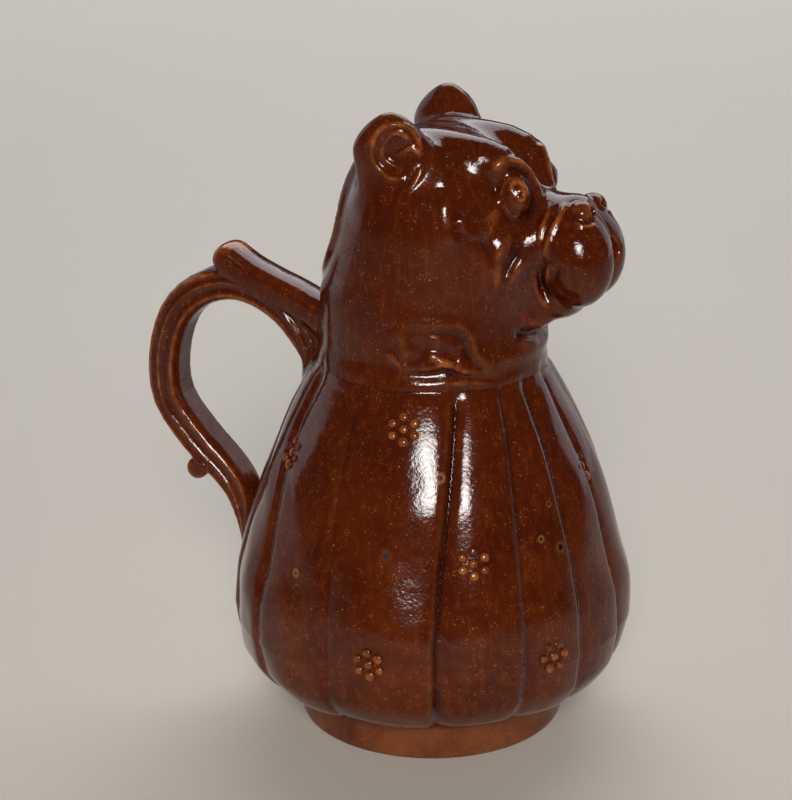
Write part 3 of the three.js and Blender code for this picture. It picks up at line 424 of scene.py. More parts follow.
HEAD_FOLDS = (
    Fold("brow edge", 2.0, 1.3, (
        (29, 21.5, 81.5), (33.5, 20, 83.5), (37, 17, 85), (40, 14.5, 84.5), (42.5, 11.5, 81.5),
        (45.5, 7.5, 74), (46, 10, 70),
    )),
    Fold("brow hollow", 2.2, -1.1, (
        (35, 19.5, 82.5), (39, 16.5, 83), (41.5, 14, 81.5), (44, 12.5, 78), (45, 12.5, 73),
        (44.5, 13.5, 67.5),
    )),
    Fold("lid ridge", 1.7, 0.9, (
        (31, 29.5, 60.5), (31.5, 28, 64), (33.5, 25, 66.5), (34.5, 22, 69.5), (35.5, 20.5, 74),
        (36.5, 19.5, 77), (39, 18, 78.5), (41.5, 17, 78), (44.5, 16.5, 75.5),
    )),
    Fold("lid ring", 0.9, 0.9, (
        (39, 21.5, 74), (39.5, 19.5, 77), (41.5, 18, 77.5), (44, 17.5, 75.5), (45, 18, 73),
    )),
    Fold("lower lid", 1.0, 0.9, (
        (36.5, 21.5, 71), (37.5, 21.5, 69), (39, 21, 66.5), (40.5, 20, 65.5), (42.5, 18, 65),
    )),
    Fold("eye bag", 1.5, 0.7, ((36, 22, 68.5), (35, 24.5, 65), (34, 26.5, 62.5), (33, 28.5, 58.5))),
    Fold("cheek loop", 2.0, 0.9, (
        (24, 33.5, 67), (25.5, 33.5, 62), (27.5, 32, 59.5), (29.5, 31, 59), (31, 29.5, 60),
    )),
    Fold("cheek loop groove", 1.9, -0.8, (
        (24, 34, 65), (26, 33.5, 60.5), (28, 32, 58.5), (31, 30, 57), (33, 29, 54), (34.5, 28.5, 50.5),
        (34.5, 28, 46),
    )),
    Fold("temple ridge", 4.0, 1.1, (
        (18.5, 32.5, 75), (19, 35, 70), (20, 36, 65), (21, 36.5, 59.5), (22.5, 36, 54.5),
    )),
    Fold("temple groove", 2.6, -0.7, (
        (22.5, 33, 70.5), (23, 34.5, 66), (23.5, 35, 61.5), (25, 34.5, 57.5),
    )),
    Fold("cheek fold", 3.0, 1.5, (
        (41.5, 22, 58.5), (38.5, 25, 55.5), (36.5, 27, 52), (36, 27, 46.5), (36.5, 26.5, 41),
        (36, 26, 35.5),
    )),
    Fold("cheek hollow", 2.0, -1.1, (
        (42.5, 21.5, 57.5), (42, 23, 51.5), (39.5, 25, 45.5), (37.5, 25.5, 40), (37, 25, 34.5),
    )),
    Fold("jowl fold", 2.6, 1.3, (
        (44.5, 18.5, 59.5), (45.5, 19.5, 54), (45, 20.5, 48.5), (42, 23, 44.5), (39, 24.5, 40),
        (37.5, 24, 33),
    )),
    Fold("back wrinkle", 1.5, 0.95, ((47, 15, 62.5), (47, 18, 57.5), (47, 19, 52), (46, 19.5, 47))),
    Fold("middle wrinkle", 1.4, 1.15, (
        (51.5, 8.5, 69), (51, 13.5, 65), (50, 16.5, 60.5), (49.5, 18, 55.5), (48, 18, 47.5),
        (47.5, 16, 39.5), (48.5, 13, 33), (51, 13, 30), (53, 12, 28.5),
    )),
    Fold("fore wrinkle", 1.4, 1.15, (
        (56.5, 7, 69.5), (56.5, 12, 66.5), (55, 15.5, 63), (53.5, 17.5, 58.5), (52.5, 18.5, 53.5),
        (51, 18.5, 49),
    )),
    Fold("flew ridge", 1.4, 0.8, ((54.5, 19.5, 49), (53, 17.5, 43), (52.5, 13, 37), (54.5, 12.5, 33))),
    Fold("cheek seam", 1.6, -0.45, (
        (52.5, 19, 51), (50.5, 17, 43.5), (49.5, 13, 37.5), (51.5, 12.5, 32.5), (54, 12.5, 31),
    )),
    Fold("flew crease", 2.0, -0.65, (
        (58, 20, 48.5), (56.5, 19, 44), (57, 18, 40), (59.5, 17.5, 37), (62.5, 17.5, 35.5), (66, 17, 36),
    )),
    Fold("lip crease", 1.0, -0.5, ((54.5, 12, 32.5), (58, 14.5, 34), (61.5, 15.5, 33))),
    Fold("wing crease", 1.1, -0.8, (
        (59.0, 11.2, 68), (60, 12.6, 66.4), (63.8, 13.8, 64.8), (67.3, 12.2, 64.4), (69.8, 9, 64.6),
    )),
    Fold("nostril arc", 1.1, 0.7, ((61, 13, 65.5), (64.5, 14.5, 63), (67.5, 13, 62.5), (70, 9, 62.5))),
    Fold("jaw crease", 1.8, -1.2, ((40, 18, 19), (43.5, 11, 17), (46, 4, 16))),
    Fold("throat fold", 2.4, 0.8, ((41, 17, 16), (44.5, 8.5, 13.5), (45, 3.5, 13.5))),
    Fold("front ear fold", 2.6, 0.8, ((8, 22, 90), (11, 24, 87.5), (14.5, 28.5, 82.5), (16.5, 32, 77))),
    Fold("second ear fold", 1.8, 0.5, ((15, 24, 86.5), (17.5, 27, 82))),
    Fold("upper neck fold", 3.0, 1.3, (
        (-1, 43, 27.5), (5, 42.5, 26.5), (10.5, 41.5, 25.5), (16, 40, 24.5), (20.5, 38, 24.5),
        (24.5, 35.5, 24), (27, 34, 22), (28.5, 33, 18), (29.5, 32.5, 14.5), (32, 31, 11), (35, 28, 8),
        (38, 24, 5.5),
    )),
    Fold("upper neck hollow", 2.5, -1.7, (
        (5.5, 42.5, 25), (10.5, 41.5, 24), (16, 40, 23), (21, 38, 23), (24.5, 36, 22), (26.5, 34.5, 19),
        (27.5, 34.5, 15), (30, 33.5, 11), (32.5, 30.5, 8.5),
    )),
    Fold("back neck slant", 3.8, 1.4, ((2, 43, 25), (4, 43, 21), (5.5, 43, 17), (8, 43, 12))),
    Fold("upper neck slant", 2.6, 0.9, (
        (7.5, 42.5, 23), (11.5, 41.5, 22.5), (16, 40, 21), (20, 38.5, 19.5),
    )),
    Fold("front neck slant", 2.0, 1.1, (
        (13.5, 41.5, 14), (16.5, 40.5, 13.5), (20, 39, 12), (23.5, 37.5, 10.5),
    )),
    Fold("neck hollow", 3.0, -0.8, ((10.5, 42, 17), (16, 40.5, 16), (21, 38.5, 14), (25, 36.5, 11.5))),
    Fold("lower neck fold", 1.8, 1.3, (
        (-3.5, 43, 15), (1, 43.5, 12.5), (4, 43.5, 9.5), (7.5, 43, 8.5), (13, 42, 8.5), (17, 40.5, 9.5),
        (19.5, 39.5, 10.5), (23, 38, 9.5), (26, 36, 7.5), (30, 33, 7), (33.5, 30, 6), (36, 26.5, 5),
    )),
    Fold("lower neck hollow", 2.3, -1.1, (
        (3.5, 43.5, 7.5), (8, 43, 7), (13.5, 42, 7), (18, 40.5, 7.5), (21, 39, 8), (25, 36.5, 6),
        (30, 33.5, 5),
    )),
    Fold("collar ridge", 1.5, 1.1, (
        (-14, 41.5, 0), (-3, 44.5, 1.5), (6.5, 44.5, 2), (15.5, 42, 2.5), (22, 39, 3), (26, 36.5, 3),
        (30, 33.5, 3), (33.5, 30.5, 2), (36.5, 25.5, 1), (40, 21.5, 2), (42.5, 15, 2.5), (45, 6.5, 2.5),
    )),
    Fold("ear ring", 0.9, 0.8, (
        (8, 31, 89.5), (6, 31, 95), (3.5, 31.5, 98), (-1, 34, 99.5), (-5.5, 35.5, 98.5), (-8.5, 36, 95),
        (-10, 35.5, 90), (-9.5, 35, 85), (-6, 35, 81), (-1.5, 35.5, 79), (2.5, 34.5, 80),
    ), 0.08),
    Fold("ear lobe", 1.1, 0.7, ((8.5, 31.5, 84.5), (7.5, 33.5, 80.5), (5.5, 35, 77), (2.5, 36.5, 74))),
    Fold("ear curl", 1.1, 1.2, (
        (8.5, 31, 89), (6.5, 32, 89.5), (4, 32.5, 90.5), (1, 32, 89), (-2, 32.5, 87),
    )),
    Fold("ear inner", 1.1, 0.8, (
        (4, 33, 93), (1.5, 33.5, 95.5), (-2, 34, 96), (-5.5, 34, 92.5), (-7, 34, 89), (-5.5, 33.5, 85.5),
        (-2, 33.5, 83.5), (0.5, 33.5, 83.5),
    )),
    Fold("iris pinhole", 0.8, -0.9, ((42.8, 20.4, 73.5), (43.4, 20, 73.6)), 0.02),
    Fold("iris ring", 0.7, 0.6, (
        (42, 20.5, 74), (42.5, 20, 75), (43.5, 19, 75), (44, 19, 73.5), (44, 19.5, 72), (43, 20.5, 72),
        (42, 21, 73),
    )),
)


@dataclass(frozen=True)
class HeadForm:
    """The dog's head and neck in head units, from the centre of the collar. It works with the size of y."""

    skin_depth: float = 6.0
    neck_top: float = 74.0
    neck_top_round: float = 24.0
    neck_overlap: float = 8.0
    neck_overlap_round: float = 4.0
    skull: Lump = Lump((4, 0, 64), (36, 38, 30), 8)
    cheek: Lump = Lump((33, 0, 48), (20, 25, 25), 10)
    bridge_start: Point = (36, 0, 56)
    bridge_end: Point = (54, 0, 56)
    bridge_radii: Station = (15.5, 14)
    bridge_reach: float = 6.0
    muzzle: Lump = Lump((54.5, 4, 53), (14.5, 13, 14), 6)
    flew: Lump = Lump((62.3, 7.5, 46.5), (13, 13, 17.2), 6)
    jaw: Lump = Lump((49, 0, 30), (14, 13, 8.5), 4)
    throat: Lump = Lump((42.5, 8, 23.5), (8.5, 6.5, 5.2), 4)
    brow_reach: float = 5.0
    eye_socket: Lump = Lump((47.2, 19.2, 71), (6, 6, 8), 4)
    eyeball: Lump = Lump((39, 15.4, 71.3), (6.4, 6.4, 7.6), 2)
    nose: Lump = Lump((59, 0, 65.4), (6.5, 6, 5), 2.5)
    nose_wing: Lump = Lump((62.6, 6.8, 65), (5.6, 5.6, 5), 0.8)
    nostril: Lump = Lump((67.4, 7, 66.6), (2.2, 2, 2), 0.8)
    ear_reach: float = 8.0
    ear_bowl: Lump = Lump((1.2, 9.2, 1.3), (11.4, 5.5, 11.6), 1.4)
    ear_centre: Point = (-4.6, 29, 88)
    ear_radii: Point = (15, 7, 15)
    ear_taper: float = 0.3
    ear_taper_power: float = 1.5
    ear_turn: float = 0.2
    ear_splay: float = 0.12
    ear_foot: float = 1.5
    neck_back: Curve = Curve(((-12, 45), (0, 44), (25, 44), (40, 40), (56, 35), (73, 30), (90, 27)))
    neck_front: Curve = Curve((
        (-12, 44.6), (0, 44.6), (5, 45), (10, 46), (14, 45), (20, 44),
        (28, 43.5), (40, 43), (56, 42), (73, 41), (90, 38),
    ))
    neck_side: Curve = Curve(((-12, 44), (0, 43.6), (25, 43), (40, 42), (56, 41), (73, 39), (90, 36)))
    brow: Trail = Trail(((2, 13, 84), (18, 13, 84), (31, 12.5, 82), (38, 10.5, 77), (41, 8, 72)), 2)
    brow_thickness: Curve = Curve(((0, 9.5), (0.5, 9), (0.8, 7), (1, 4.5)))

    def neck(self, points: Array) -> Array:
        """Measure the distance to the plain neck.

        Args:
            points: places, one a row.

        Returns:
            The distance at each place.
        """
        x, y, z = points.T
        back, front, side = -self.neck_back(z), self.neck_front(z), self.neck_side(z)
        middle, depth = (back + front) / 2, (front - back) / 2
        wall = (np.hypot((x - middle) / depth, y / side) - 1) * np.minimum(depth, side)
        topped = keep_both(wall, z - self.neck_top, self.neck_top_round)
        return keep_both(topped, -z - self.neck_overlap, self.neck_overlap_round)

    def ear(self, points: Array) -> Array:
        """Measure the distance to the ear.

        Args:
            points: places, one a row.

        Returns:
            The distance at each place.
        """
        dx, dy, dz = (points - np.asarray(self.ear_centre, points.dtype)).T
        dy = dy - self.ear_splay * dz
        cosine, sine = math.cos(self.ear_turn), math.sin(self.ear_turn)
        face = np.stack([dx * cosine - dy * sine, dx * sine + dy * cosine, dz], axis=1)
        leaf = face.copy()
        raised = np.clip(dz / self.ear_radii[2], 0, 1)
        leaf[:, 0] /= 1 - self.ear_taper * raised**self.ear_taper_power
        leaf[:, 2] = np.where(dz < 0, dz / self.ear_foot, dz)
        return self.ear_bowl.taken(ellipsoid(leaf, (0, 0, 0), self.ear_radii), face)

    def distance(self, points: Array) -> Array:
        """Measure the distance to the head with all of its carving.

        Args:
            points: places in head units, one a row.

        Returns:
            The distance at each place.
        """
        form = self.neck(points)
        for lump in (self.skull, self.cheek):
            form = lump.added(form, points)
        bridge = rod(points, self.bridge_start, self.bridge_end, *self.bridge_radii)
        form = join(form, bridge, self.bridge_reach)
        for lump in (self.muzzle, self.flew, self.jaw, self.throat):
            form = lump.added(form, points)
        away, share, _ = self.brow.measure(points)
        form = join(form, away - self.brow_thickness(share), self.brow_reach)
        form = self.eye_socket.taken(form, points)
        for lump in (self.eyeball, self.nose, self.nose_wing):
            form = lump.added(form, points)
        form = self.nostril.taken(form, points)
        form = join(form, self.ear(points), self.ear_reach)
        near = np.abs(form) < self.skin_depth
        skin = points[near]
        for fold in HEAD_FOLDS:
            form[near] -= fold.swell(skin)
        return form


# Handle


@dataclass(frozen=True)
class HandleForm:
    """Strap handle with a thumb leaf and a small scroll, in the plane between the ears.

    Its points are [along, out]: along the line from its foot on the body to its top on the neck, and
    out from that line as a share of its reach. Its ridges are [across, width, rise] over its thickness.
    """

    foot: Station = (-77.2, 60.0)
    top: Station = (-43.6, 160.0)
    reach: float = 60.0
    width: float = 16.0
    thickness: float = 13.6
    rounding: float = 3.5
    most_rounding: float = 0.9
    leaf_width: float = 18.0
    leaf_thickness: float = 10.0
    leaf_crown: float = 1.6
    scroll_radius: float = 4.6
    scroll_place: Station = (0.21, 0.56)
    scroll_round: float = 2.0
    scroll_seam: float = 1.5
    web_radius: float = 6.5
    web_seam: float = 3.0
    leaf_seam: float = 1.5
    ridge_fade: float = 0.08
    ridges: tuple[Point, ...] = (
        (0.8, 0.13, 0.5), (0.2, 0.13, 0.5), (-0.62, 0.16, 0.4), (0.5, 0.15, -0.5), (-0.2, 0.22, -0.5),
    )
    strap_path: tuple[Station, ...] = (
        (-0.03, 0.08), (0.05, 0.11), (0.13, 0.16), (0.2, 0.25), (0.255, 0.4),
        (0.32, 0.64), (0.43, 0.91), (0.59, 1.03), (0.77, 1.04), (0.9, 0.93),
        (0.98, 0.74), (1, 0.53), (0.97, 0.3), (0.89, 0.1), (0.78, -0.02),
    )
    leaf_path: tuple[Station, ...] = (
        (0.99, -0.12), (1.02, 0.08), (1.035, 0.26), (1.04, 0.46), (1.05, 0.64), (1.07, 0.79),
    )
    web_path: tuple[Station, ...] = ((0.98, 0.04), (0.86, -0.02), (0.8, -0.04))
    strap_thickness: Curve = Curve((
        (0, 0.1), (0.15, 0.43), (0.3, 0.5), (0.6, 0.5), (0.8, 0.44), (0.92, 0.36), (1, 0.2),
    ))
    strap_width: Curve = Curve(((0, 0.2), (0.1, 0.5), (0.9, 0.5), (1, 0.3)))

    def place(self, along: float, out: float) -> Station:
        """Turn a share along and out into a place in the handle's plane.

        Args:
            along: share of the line from foot to top.
            out: share of the reach.

        Returns:
            The place's x and z.
        """
        rise = np.subtract(self.top, self.foot)
        outward = np.array([-rise[1], rise[0]]) / np.hypot(*rise) * self.reach
        x, z = np.array(self.foot) + along * rise + out * outward
        return float(x), float(z)

    def trail(self, corners: Sequence[Station]) -> Trail:
        """Draw a path in the handle's plane through shares along and out."""
        return Trail([self.place(*corner) for corner in corners], 3)

    @cached_property
    def trails(self) -> tuple[Trail, Trail, Trail]:
        """The paths of the strap, the thumb leaf and the web at the neck."""
        return self.trail(self.strap_path), self.trail(self.leaf_path), self.trail(self.web_path)

    def strap(
        self, points: Array, trail: Trail, thick: Callable[[Array], Array], wide: Callable[[Array], Array],
    ) -> tuple[Array, Array, Array]:
        """Measure the distance to a flat strap with rounded corners.

        Args:
            points: places, one a row.
            trail: the path of its middle.
            thick: half thickness by share of the path.
            wide: half width by share of the path.

        Returns:
            The distance, the signed share of its half thickness out from the middle, and the share
            along it.
        """
        away, share, side = trail.measure(points[:, [0, 2]])
        half_thick, half_wide = thick(share), wide(share)
        round_off = np.minimum(self.rounding, half_thick * self.most_rounding)
        dx = away - half_thick + round_off
        dy = np.abs(points[:, 1]) - half_wide + round_off
        outside = np.hypot(np.maximum(dx, 0), np.maximum(dy, 0))
        form = outside + np.minimum(np.maximum(dx, dy), 0) - round_off
        return form, side * away / half_thick, share

    def distance(self, points: Array) -> Array:
        """Measure the distance to the handle.

        Args:
            points: places, one a row.

        Returns:
            The distance at each place.
        """
        strap_trail, leaf_trail, web_trail = self.trails
        strap, across, share = self.strap(
            points,
            strap_trail,
            lambda s: self.strap_thickness(s) * self.thickness,
            lambda s: self.strap_width(s) * self.width,
        )
        ridges = 0.0
        for middle, wide, rise in self.ridges:
            ridges = ridges + rise * np.exp(-(((across - middle) / wide) ** 2))
        shown = np.clip(np.minimum(share, 1 - share) / self.ridge_fade, 0, 1)
        strap = strap - ridges * shown
        leaf, _, _ = self.strap(
            points,
            leaf_trail,
            lambda s: np.full_like(s, self.leaf_thickness / 2),
            lambda s: np.full_like(s, self.leaf_width / 2),
        )
        leaf = leaf - self.leaf_crown * (1 - np.clip(points[:, 1] / self.leaf_width * 2, -1, 1) ** 2)
        centre = self.place(*self.scroll_place)
        disc = np.hypot(points[:, 0] - centre[0], points[:, 2] - centre[1]) - self.scroll_radius
        scroll = keep_both(disc, np.abs(points[:, 1]) - self.width / 2, self.scroll_round)
        away, _, _ = web_trail.measure(points[:, [0, 2]])
        web = np.hypot(away, points[:, 1]) - self.web_radius
        form = join(strap, leaf, self.leaf_seam)
        form = join(form, web, self.web_seam)
        return join(form, scroll, self.scroll_seam)


# Whole skin


@dataclass(frozen=True)
class PitcherForm:
    """The pot's whole outer skin, with its openings and their rims."""

    body: BodyForm = BodyForm()
    head: HeadForm = HeadForm()
    handle: HandleForm = HandleForm()
    filler_length: float = 52.0
    filler_width: float = 38.0
    filler_slope: float = 23.0
    filler_rim: float = 1.8
    filler_centre: Station = (-32.0, 208.0)
    filler_depth: float = 20.0
    filler_edge: float = 2.0
    pour_height: float = 200.0
    pour_reach: Station = (58.0, 90.0)
    pour_bore: float = 9.4
    pour_edge: float = 1.5
    head_seam: float = 3.0
    handle_seam: float = 5.0
    rim_seam: float = 3.0
    fine_step: float = 0.15
    settle_step: float = 0.4
    longest_move: float = 1.5
    body_top: float = 166.0
    head_bottom: float = 128.0
    openings_bottom: float = 170.0
    handle_front: float = -28.0
    handle_side: float = 20.0
    handle_heights: Station = (40.0, 190.0)
    even_foot: float = 20.0
    waves: tuple[tuple[float, ...], ...] = (
        (0.11, 0.05, 0.06, 0.4, 0.30), (-0.07, 0.12, -0.05, 2.1, 0.30), (0.05, -0.09, 0.13, 4.0, 0.22),
        (0.24, 0.19, -0.07, 1.2, 0.10), (-0.17, 0.26, 0.09, 5.1, 0.10), (0.21, -0.16, 0.21, 3.0, 0.07),
    )

    def uneven(self, points: Array) -> Array:
        """Work out the hand-made unevenness of the clay.

        Args:
            points: places, one a row.

        Returns:
            The lift at each place: slow waves, each with its turn along x, y and z, its start and its
            height.
        """
        lift = np.zeros(len(points), points.dtype)
        for along_x, along_y, along_z, start, height in self.waves:
            turn = np.array([along_x, along_y, along_z], points.dtype)
            lift += height * np.sin(points @ turn + np.float32(start))
        return lift

    def filler(self, points: Array) -> tuple[Array, Array]:
        """Measure the filler mouth.

        Args:
            points: places, one a row.

        Returns:
            The distance to its bore, and the level distance to the middle of its rolled rim.
        """
        slope = math.radians(self.filler_slope)
        dx = points[:, 0] - self.filler_centre[0]
        dz = points[:, 2] - self.filler_centre[1]
        up = dx * math.sin(slope) + dz * math.cos(slope)
        out = -dx * math.cos(slope) + dz * math.sin(slope)
        half_long, half_wide, grow = self.filler_length / 2, self.filler_width / 2, self.filler_rim
        oval = np.hypot(up / half_long, points[:, 1] / half_wide) - 1
        bore = np.maximum(oval * half_wide, -out - self.filler_depth)
        ring = np.hypot(up / (half_long + grow), points[:, 1] / (half_wide + grow)) - 1
        return bore, np.where(points[:, 0] < 0, ring * (half_wide + grow), half_long)

    def distance(self, points: Array) -> Array:
        """Measure the distance to the pot's outer skin, in batches that run side by side.

        Args:
            points: places in millimetres, one a row.

        Returns:
            The distance at each place.
        """
        batches = np.array_split(points, max(1, len(points) // BATCH))
        with ThreadPoolExecutor(WORKERS) as pool:
            return np.concatenate(list(pool.map(self.measure, batches)))

    def measure(self, points: Array) -> Array:
        """Measure the distance for one batch of places."""
        z = points[:, 2]
        clay = np.full(len(points), FAR, points.dtype)
        low = z < self.body_top
        uneven = self.uneven(points[low]) * np.clip(z[low] / self.even_foot, 0, 1)
        clay[low] = self.body.distance(points[low]) - uneven
        high = z > self.head_bottom
        head_points = points[high] - np.array([0, 0, self.body.collar_height], points.dtype)
        head_points[:, 1] = np.abs(head_points[:, 1])
        clay[high] = join(clay[high], self.head.distance(head_points), self.head_seam)
        bottom, top = self.handle_heights
        back = (points[:, 0] < self.handle_front) & (np.abs(points[:, 1]) < self.handle_side)
        back &= (z > bottom) & (z < top)
        clay[back] = join(clay[back], self.handle.distance(points[back]), self.handle_seam)
        pierced = z > self.openings_bottom
        bore, ring = self.filler(points[pierced])
        rim = np.hypot(ring, clay[pierced]) - self.filler_rim
        start, end = ((x, 0, self.pour_height) for x in self.pour_reach)
        pour = rod(points[pierced], start, end, self.pour_bore / 2, self.pour_bore / 2)
        rimmed = join(clay[pierced], rim, self.rim_seam)
        clay[pierced] = cut(cut(rimmed, bore, self.filler_edge), pour, self.pour_edge)
        return np.maximum(clay, -z)

    def slope(self, points: Array, step: float | None = None) -> Array:
        """Find the unit normal of the form.

        Args:
            points: places, one a row.
            step: spacing of the samples, the fine step if none is given.

        Returns:
            A normal for each place.
        """
        step = step or self.fine_step
        normal = np.zeros_like(points)
        for corner in TETRAHEDRON:
            way = np.array(corner, points.dtype)
            normal += self.distance(points + way * step)[:, None] * way
        return normal / np.maximum(np.linalg.norm(normal, axis=1, keepdims=True), 1e-9)

    def bend(self, points: Array, step: float) -> Array:
        """Measure how sharply the skin bends, positive on ridges and negative in grooves.

        Args:
            points: places on the skin, one a row.
            step: size of the forms that are felt.

        Returns:
            The bend per millimetre at each place.
        """
        total = -4 * self.distance(points)
        for corner in TETRAHEDRON:
            total = total + self.distance(points + np.array(corner, points.dtype) * step)
        return total / (2 * step**2)

    def settle(self, points: Array, rounds: int = 2) -> Array:
        """Move places onto the skin along its normal.

        Args:
            points: places near the skin, one a row.
            rounds: how often each is corrected.

        Returns:
            The moved places.
        """
        normal = self.slope(points, self.settle_step)
        settled = points
        for _ in range(rounds):
            move = np.clip(self.distance(settled), -self.longest_move, self.longest_move)
            settled = settled - move[:, None] * normal
        return settled


# Shading


class Operation(Enum):
    """The sums that sockets are joined by."""

    ADD = "ADD"
    SUBTRACT = "SUBTRACT"
    MULTIPLY = "MULTIPLY"


class Socket:
    """A shader socket that takes part in Python expressions."""

    def __init__(self, tree: "ShaderTree", link: bpy.types.NodeSocket) -> None:
        """Hold a socket of a tree."""
        self.tree = tree
        self.link = link

    def _math(self, operation: Operation, *values: "Value") -> "Socket":
        """Add a Math node on this tree."""
        return self.tree.node("ShaderNodeMath", {"operation": operation.value}, dict(enumerate(values)))

    def __add__(self, other: "Value") -> "Socket":
        """Add."""
        return self._math(Operation.ADD, self, other)

    __radd__ = __add__

    def __mul__(self, other: "Value") -> "Socket":
        """Multiply."""
        return self._math(Operation.MULTIPLY, self, other)

    def __sub__(self, other: "Value") -> "Socket":
        """Subtract."""
        return self._math(Operation.SUBTRACT, self, other)

    def __rsub__(self, other: "Value") -> "Socket":
        """Subtract this from another."""
        return self._math(Operation.SUBTRACT, other, self)

    def smooth(self, low: float, high: float) -> "Socket":
        """Ease from 0 at low to 1 at high.

        Args:
            low: value that gives 0.
            high: value that gives 1.

        Returns:
            The eased value.
        """
        settings = {"interpolation_type": "SMOOTHSTEP"}
        return self.tree.node("ShaderNodeMapRange", settings, {0: self, 1: low, 2: high, 3: 0.0, 4: 1.0})


Value = Socket | float | tuple


class ShaderTree:
    """A material's node tree, built by calls."""

    def __init__(self, name: str) -> None:
        """Start an empty material of this name."""
        self.material = bpy.data.materials.new(name)
        self.material.use_nodes = True
        self.nodes = self.material.node_tree.nodes
        self.links = self.material.node_tree.links
        self.nodes.clear()

    def node(self, kind: str, settings: dict, values: dict, out: int | str = 0) -> Socket:
        """Add a node.

        Args:
            kind: the node's type.
            settings: its own options, set first.
            values: numbers or links for its inputs, by name or index.
            out: which output to hand back.

        Returns:
            That output.
        """
        made = self.nodes.new(kind)
        for key, value in settings.items():
            setattr(made, key, value)
        for key, value in values.items():
            target = made.inputs[key]
            if isinstance(value, Socket):
                self.links.new(value.link, target)
            elif isinstance(value, tuple) and len(value) == 3 and target.type == "RGBA":
                target.default_value = (*value, 1.0)
            else:
                target.default_value = value
        return Socket(self, made.outputs[out])

    def mix(self, factor: Value, a: Value, b: Value) -> Socket:
        """Mix two colours.

        Args:
            factor: share of the second.
            a: first colour.
            b: second colour.

        Returns:
            The mixed colour.
        """
        settings = {"data_type": "RGBA", "blend_type": "MIX", "clamp_factor": True}
        return self.node("ShaderNodeMix", settings, {0: factor, 6: a, 7: b}, 2)

    def noise(self, place: Socket, scale: float, detail: float = 3.0, rough: float = 0.5) -> Socket:
        """Add noise on a place.

        Args:
            place: coordinates.
            scale: how fine it is.
            detail: how many finer layers it has.
            rough: weight of the finer layers.

        Returns:
            The noise, about 0.5.
        """
        values = {"Vector": place, "Scale": scale, "Detail": detail, "Roughness": rough}
        return self.node("ShaderNodeTexNoise", {}, values)

    def place(self, stretch: Point = (1, 1, 1)) -> Socket:
        """Read Object coordinates.

        Args:
            stretch: scale along each axis.

        Returns:
            The coordinates.
        """
        where = self.node("ShaderNodeTexCoord", {}, {}, "Object")
        return self.node("ShaderNodeMapping", {}, {"Vector": where, "Scale": stretch})

    def attribute(self, name: str) -> Socket:
        """Read a number kept on the mesh."""
        return self.node("ShaderNodeAttribute", {"attribute_name": name}, {}, "Fac")

    def finish(self, shader: Socket) -> bpy.types.Material:
        """Lead a shader to the output and hand back the material."""
        output = self.nodes.new("ShaderNodeOutputMaterial")
        self.links.new(shader.link, output.inputs["Surface"])
        return self.material


@dataclass(frozen=True)
class Mark:
    """A small flaw fired into the glaze: its place and size in millimetres, its pale rim and its middle."""

    place: Point
    size: float
    rim: float
    middle: Colour


MARKS = (
    Mark((24.3, -54.9, 121.4), 1.3, 0.8, (0.004, 0.002, 0.001)),
    Mark((8.5, -70.1, 93.5), 1.5, 0.1, (0.020, 0.024, 0.045)),
    Mark((64.3, -31.2, 90.4), 1.5, 0.2, (0.006, 0.003, 0.003)),
    Mark((58.8, -37.9, 95.4), 0.9, 0.6, (0.030, 0.010, 0.004)),
    Mark((58.9, -30.3, 106.9), 0.8, 0.3, (0.004, 0.002, 0.001)),
    Mark((-30.0, -68.0, 79.9), 1.1, 0.7, (0.070, 0.020, 0.008)),
)


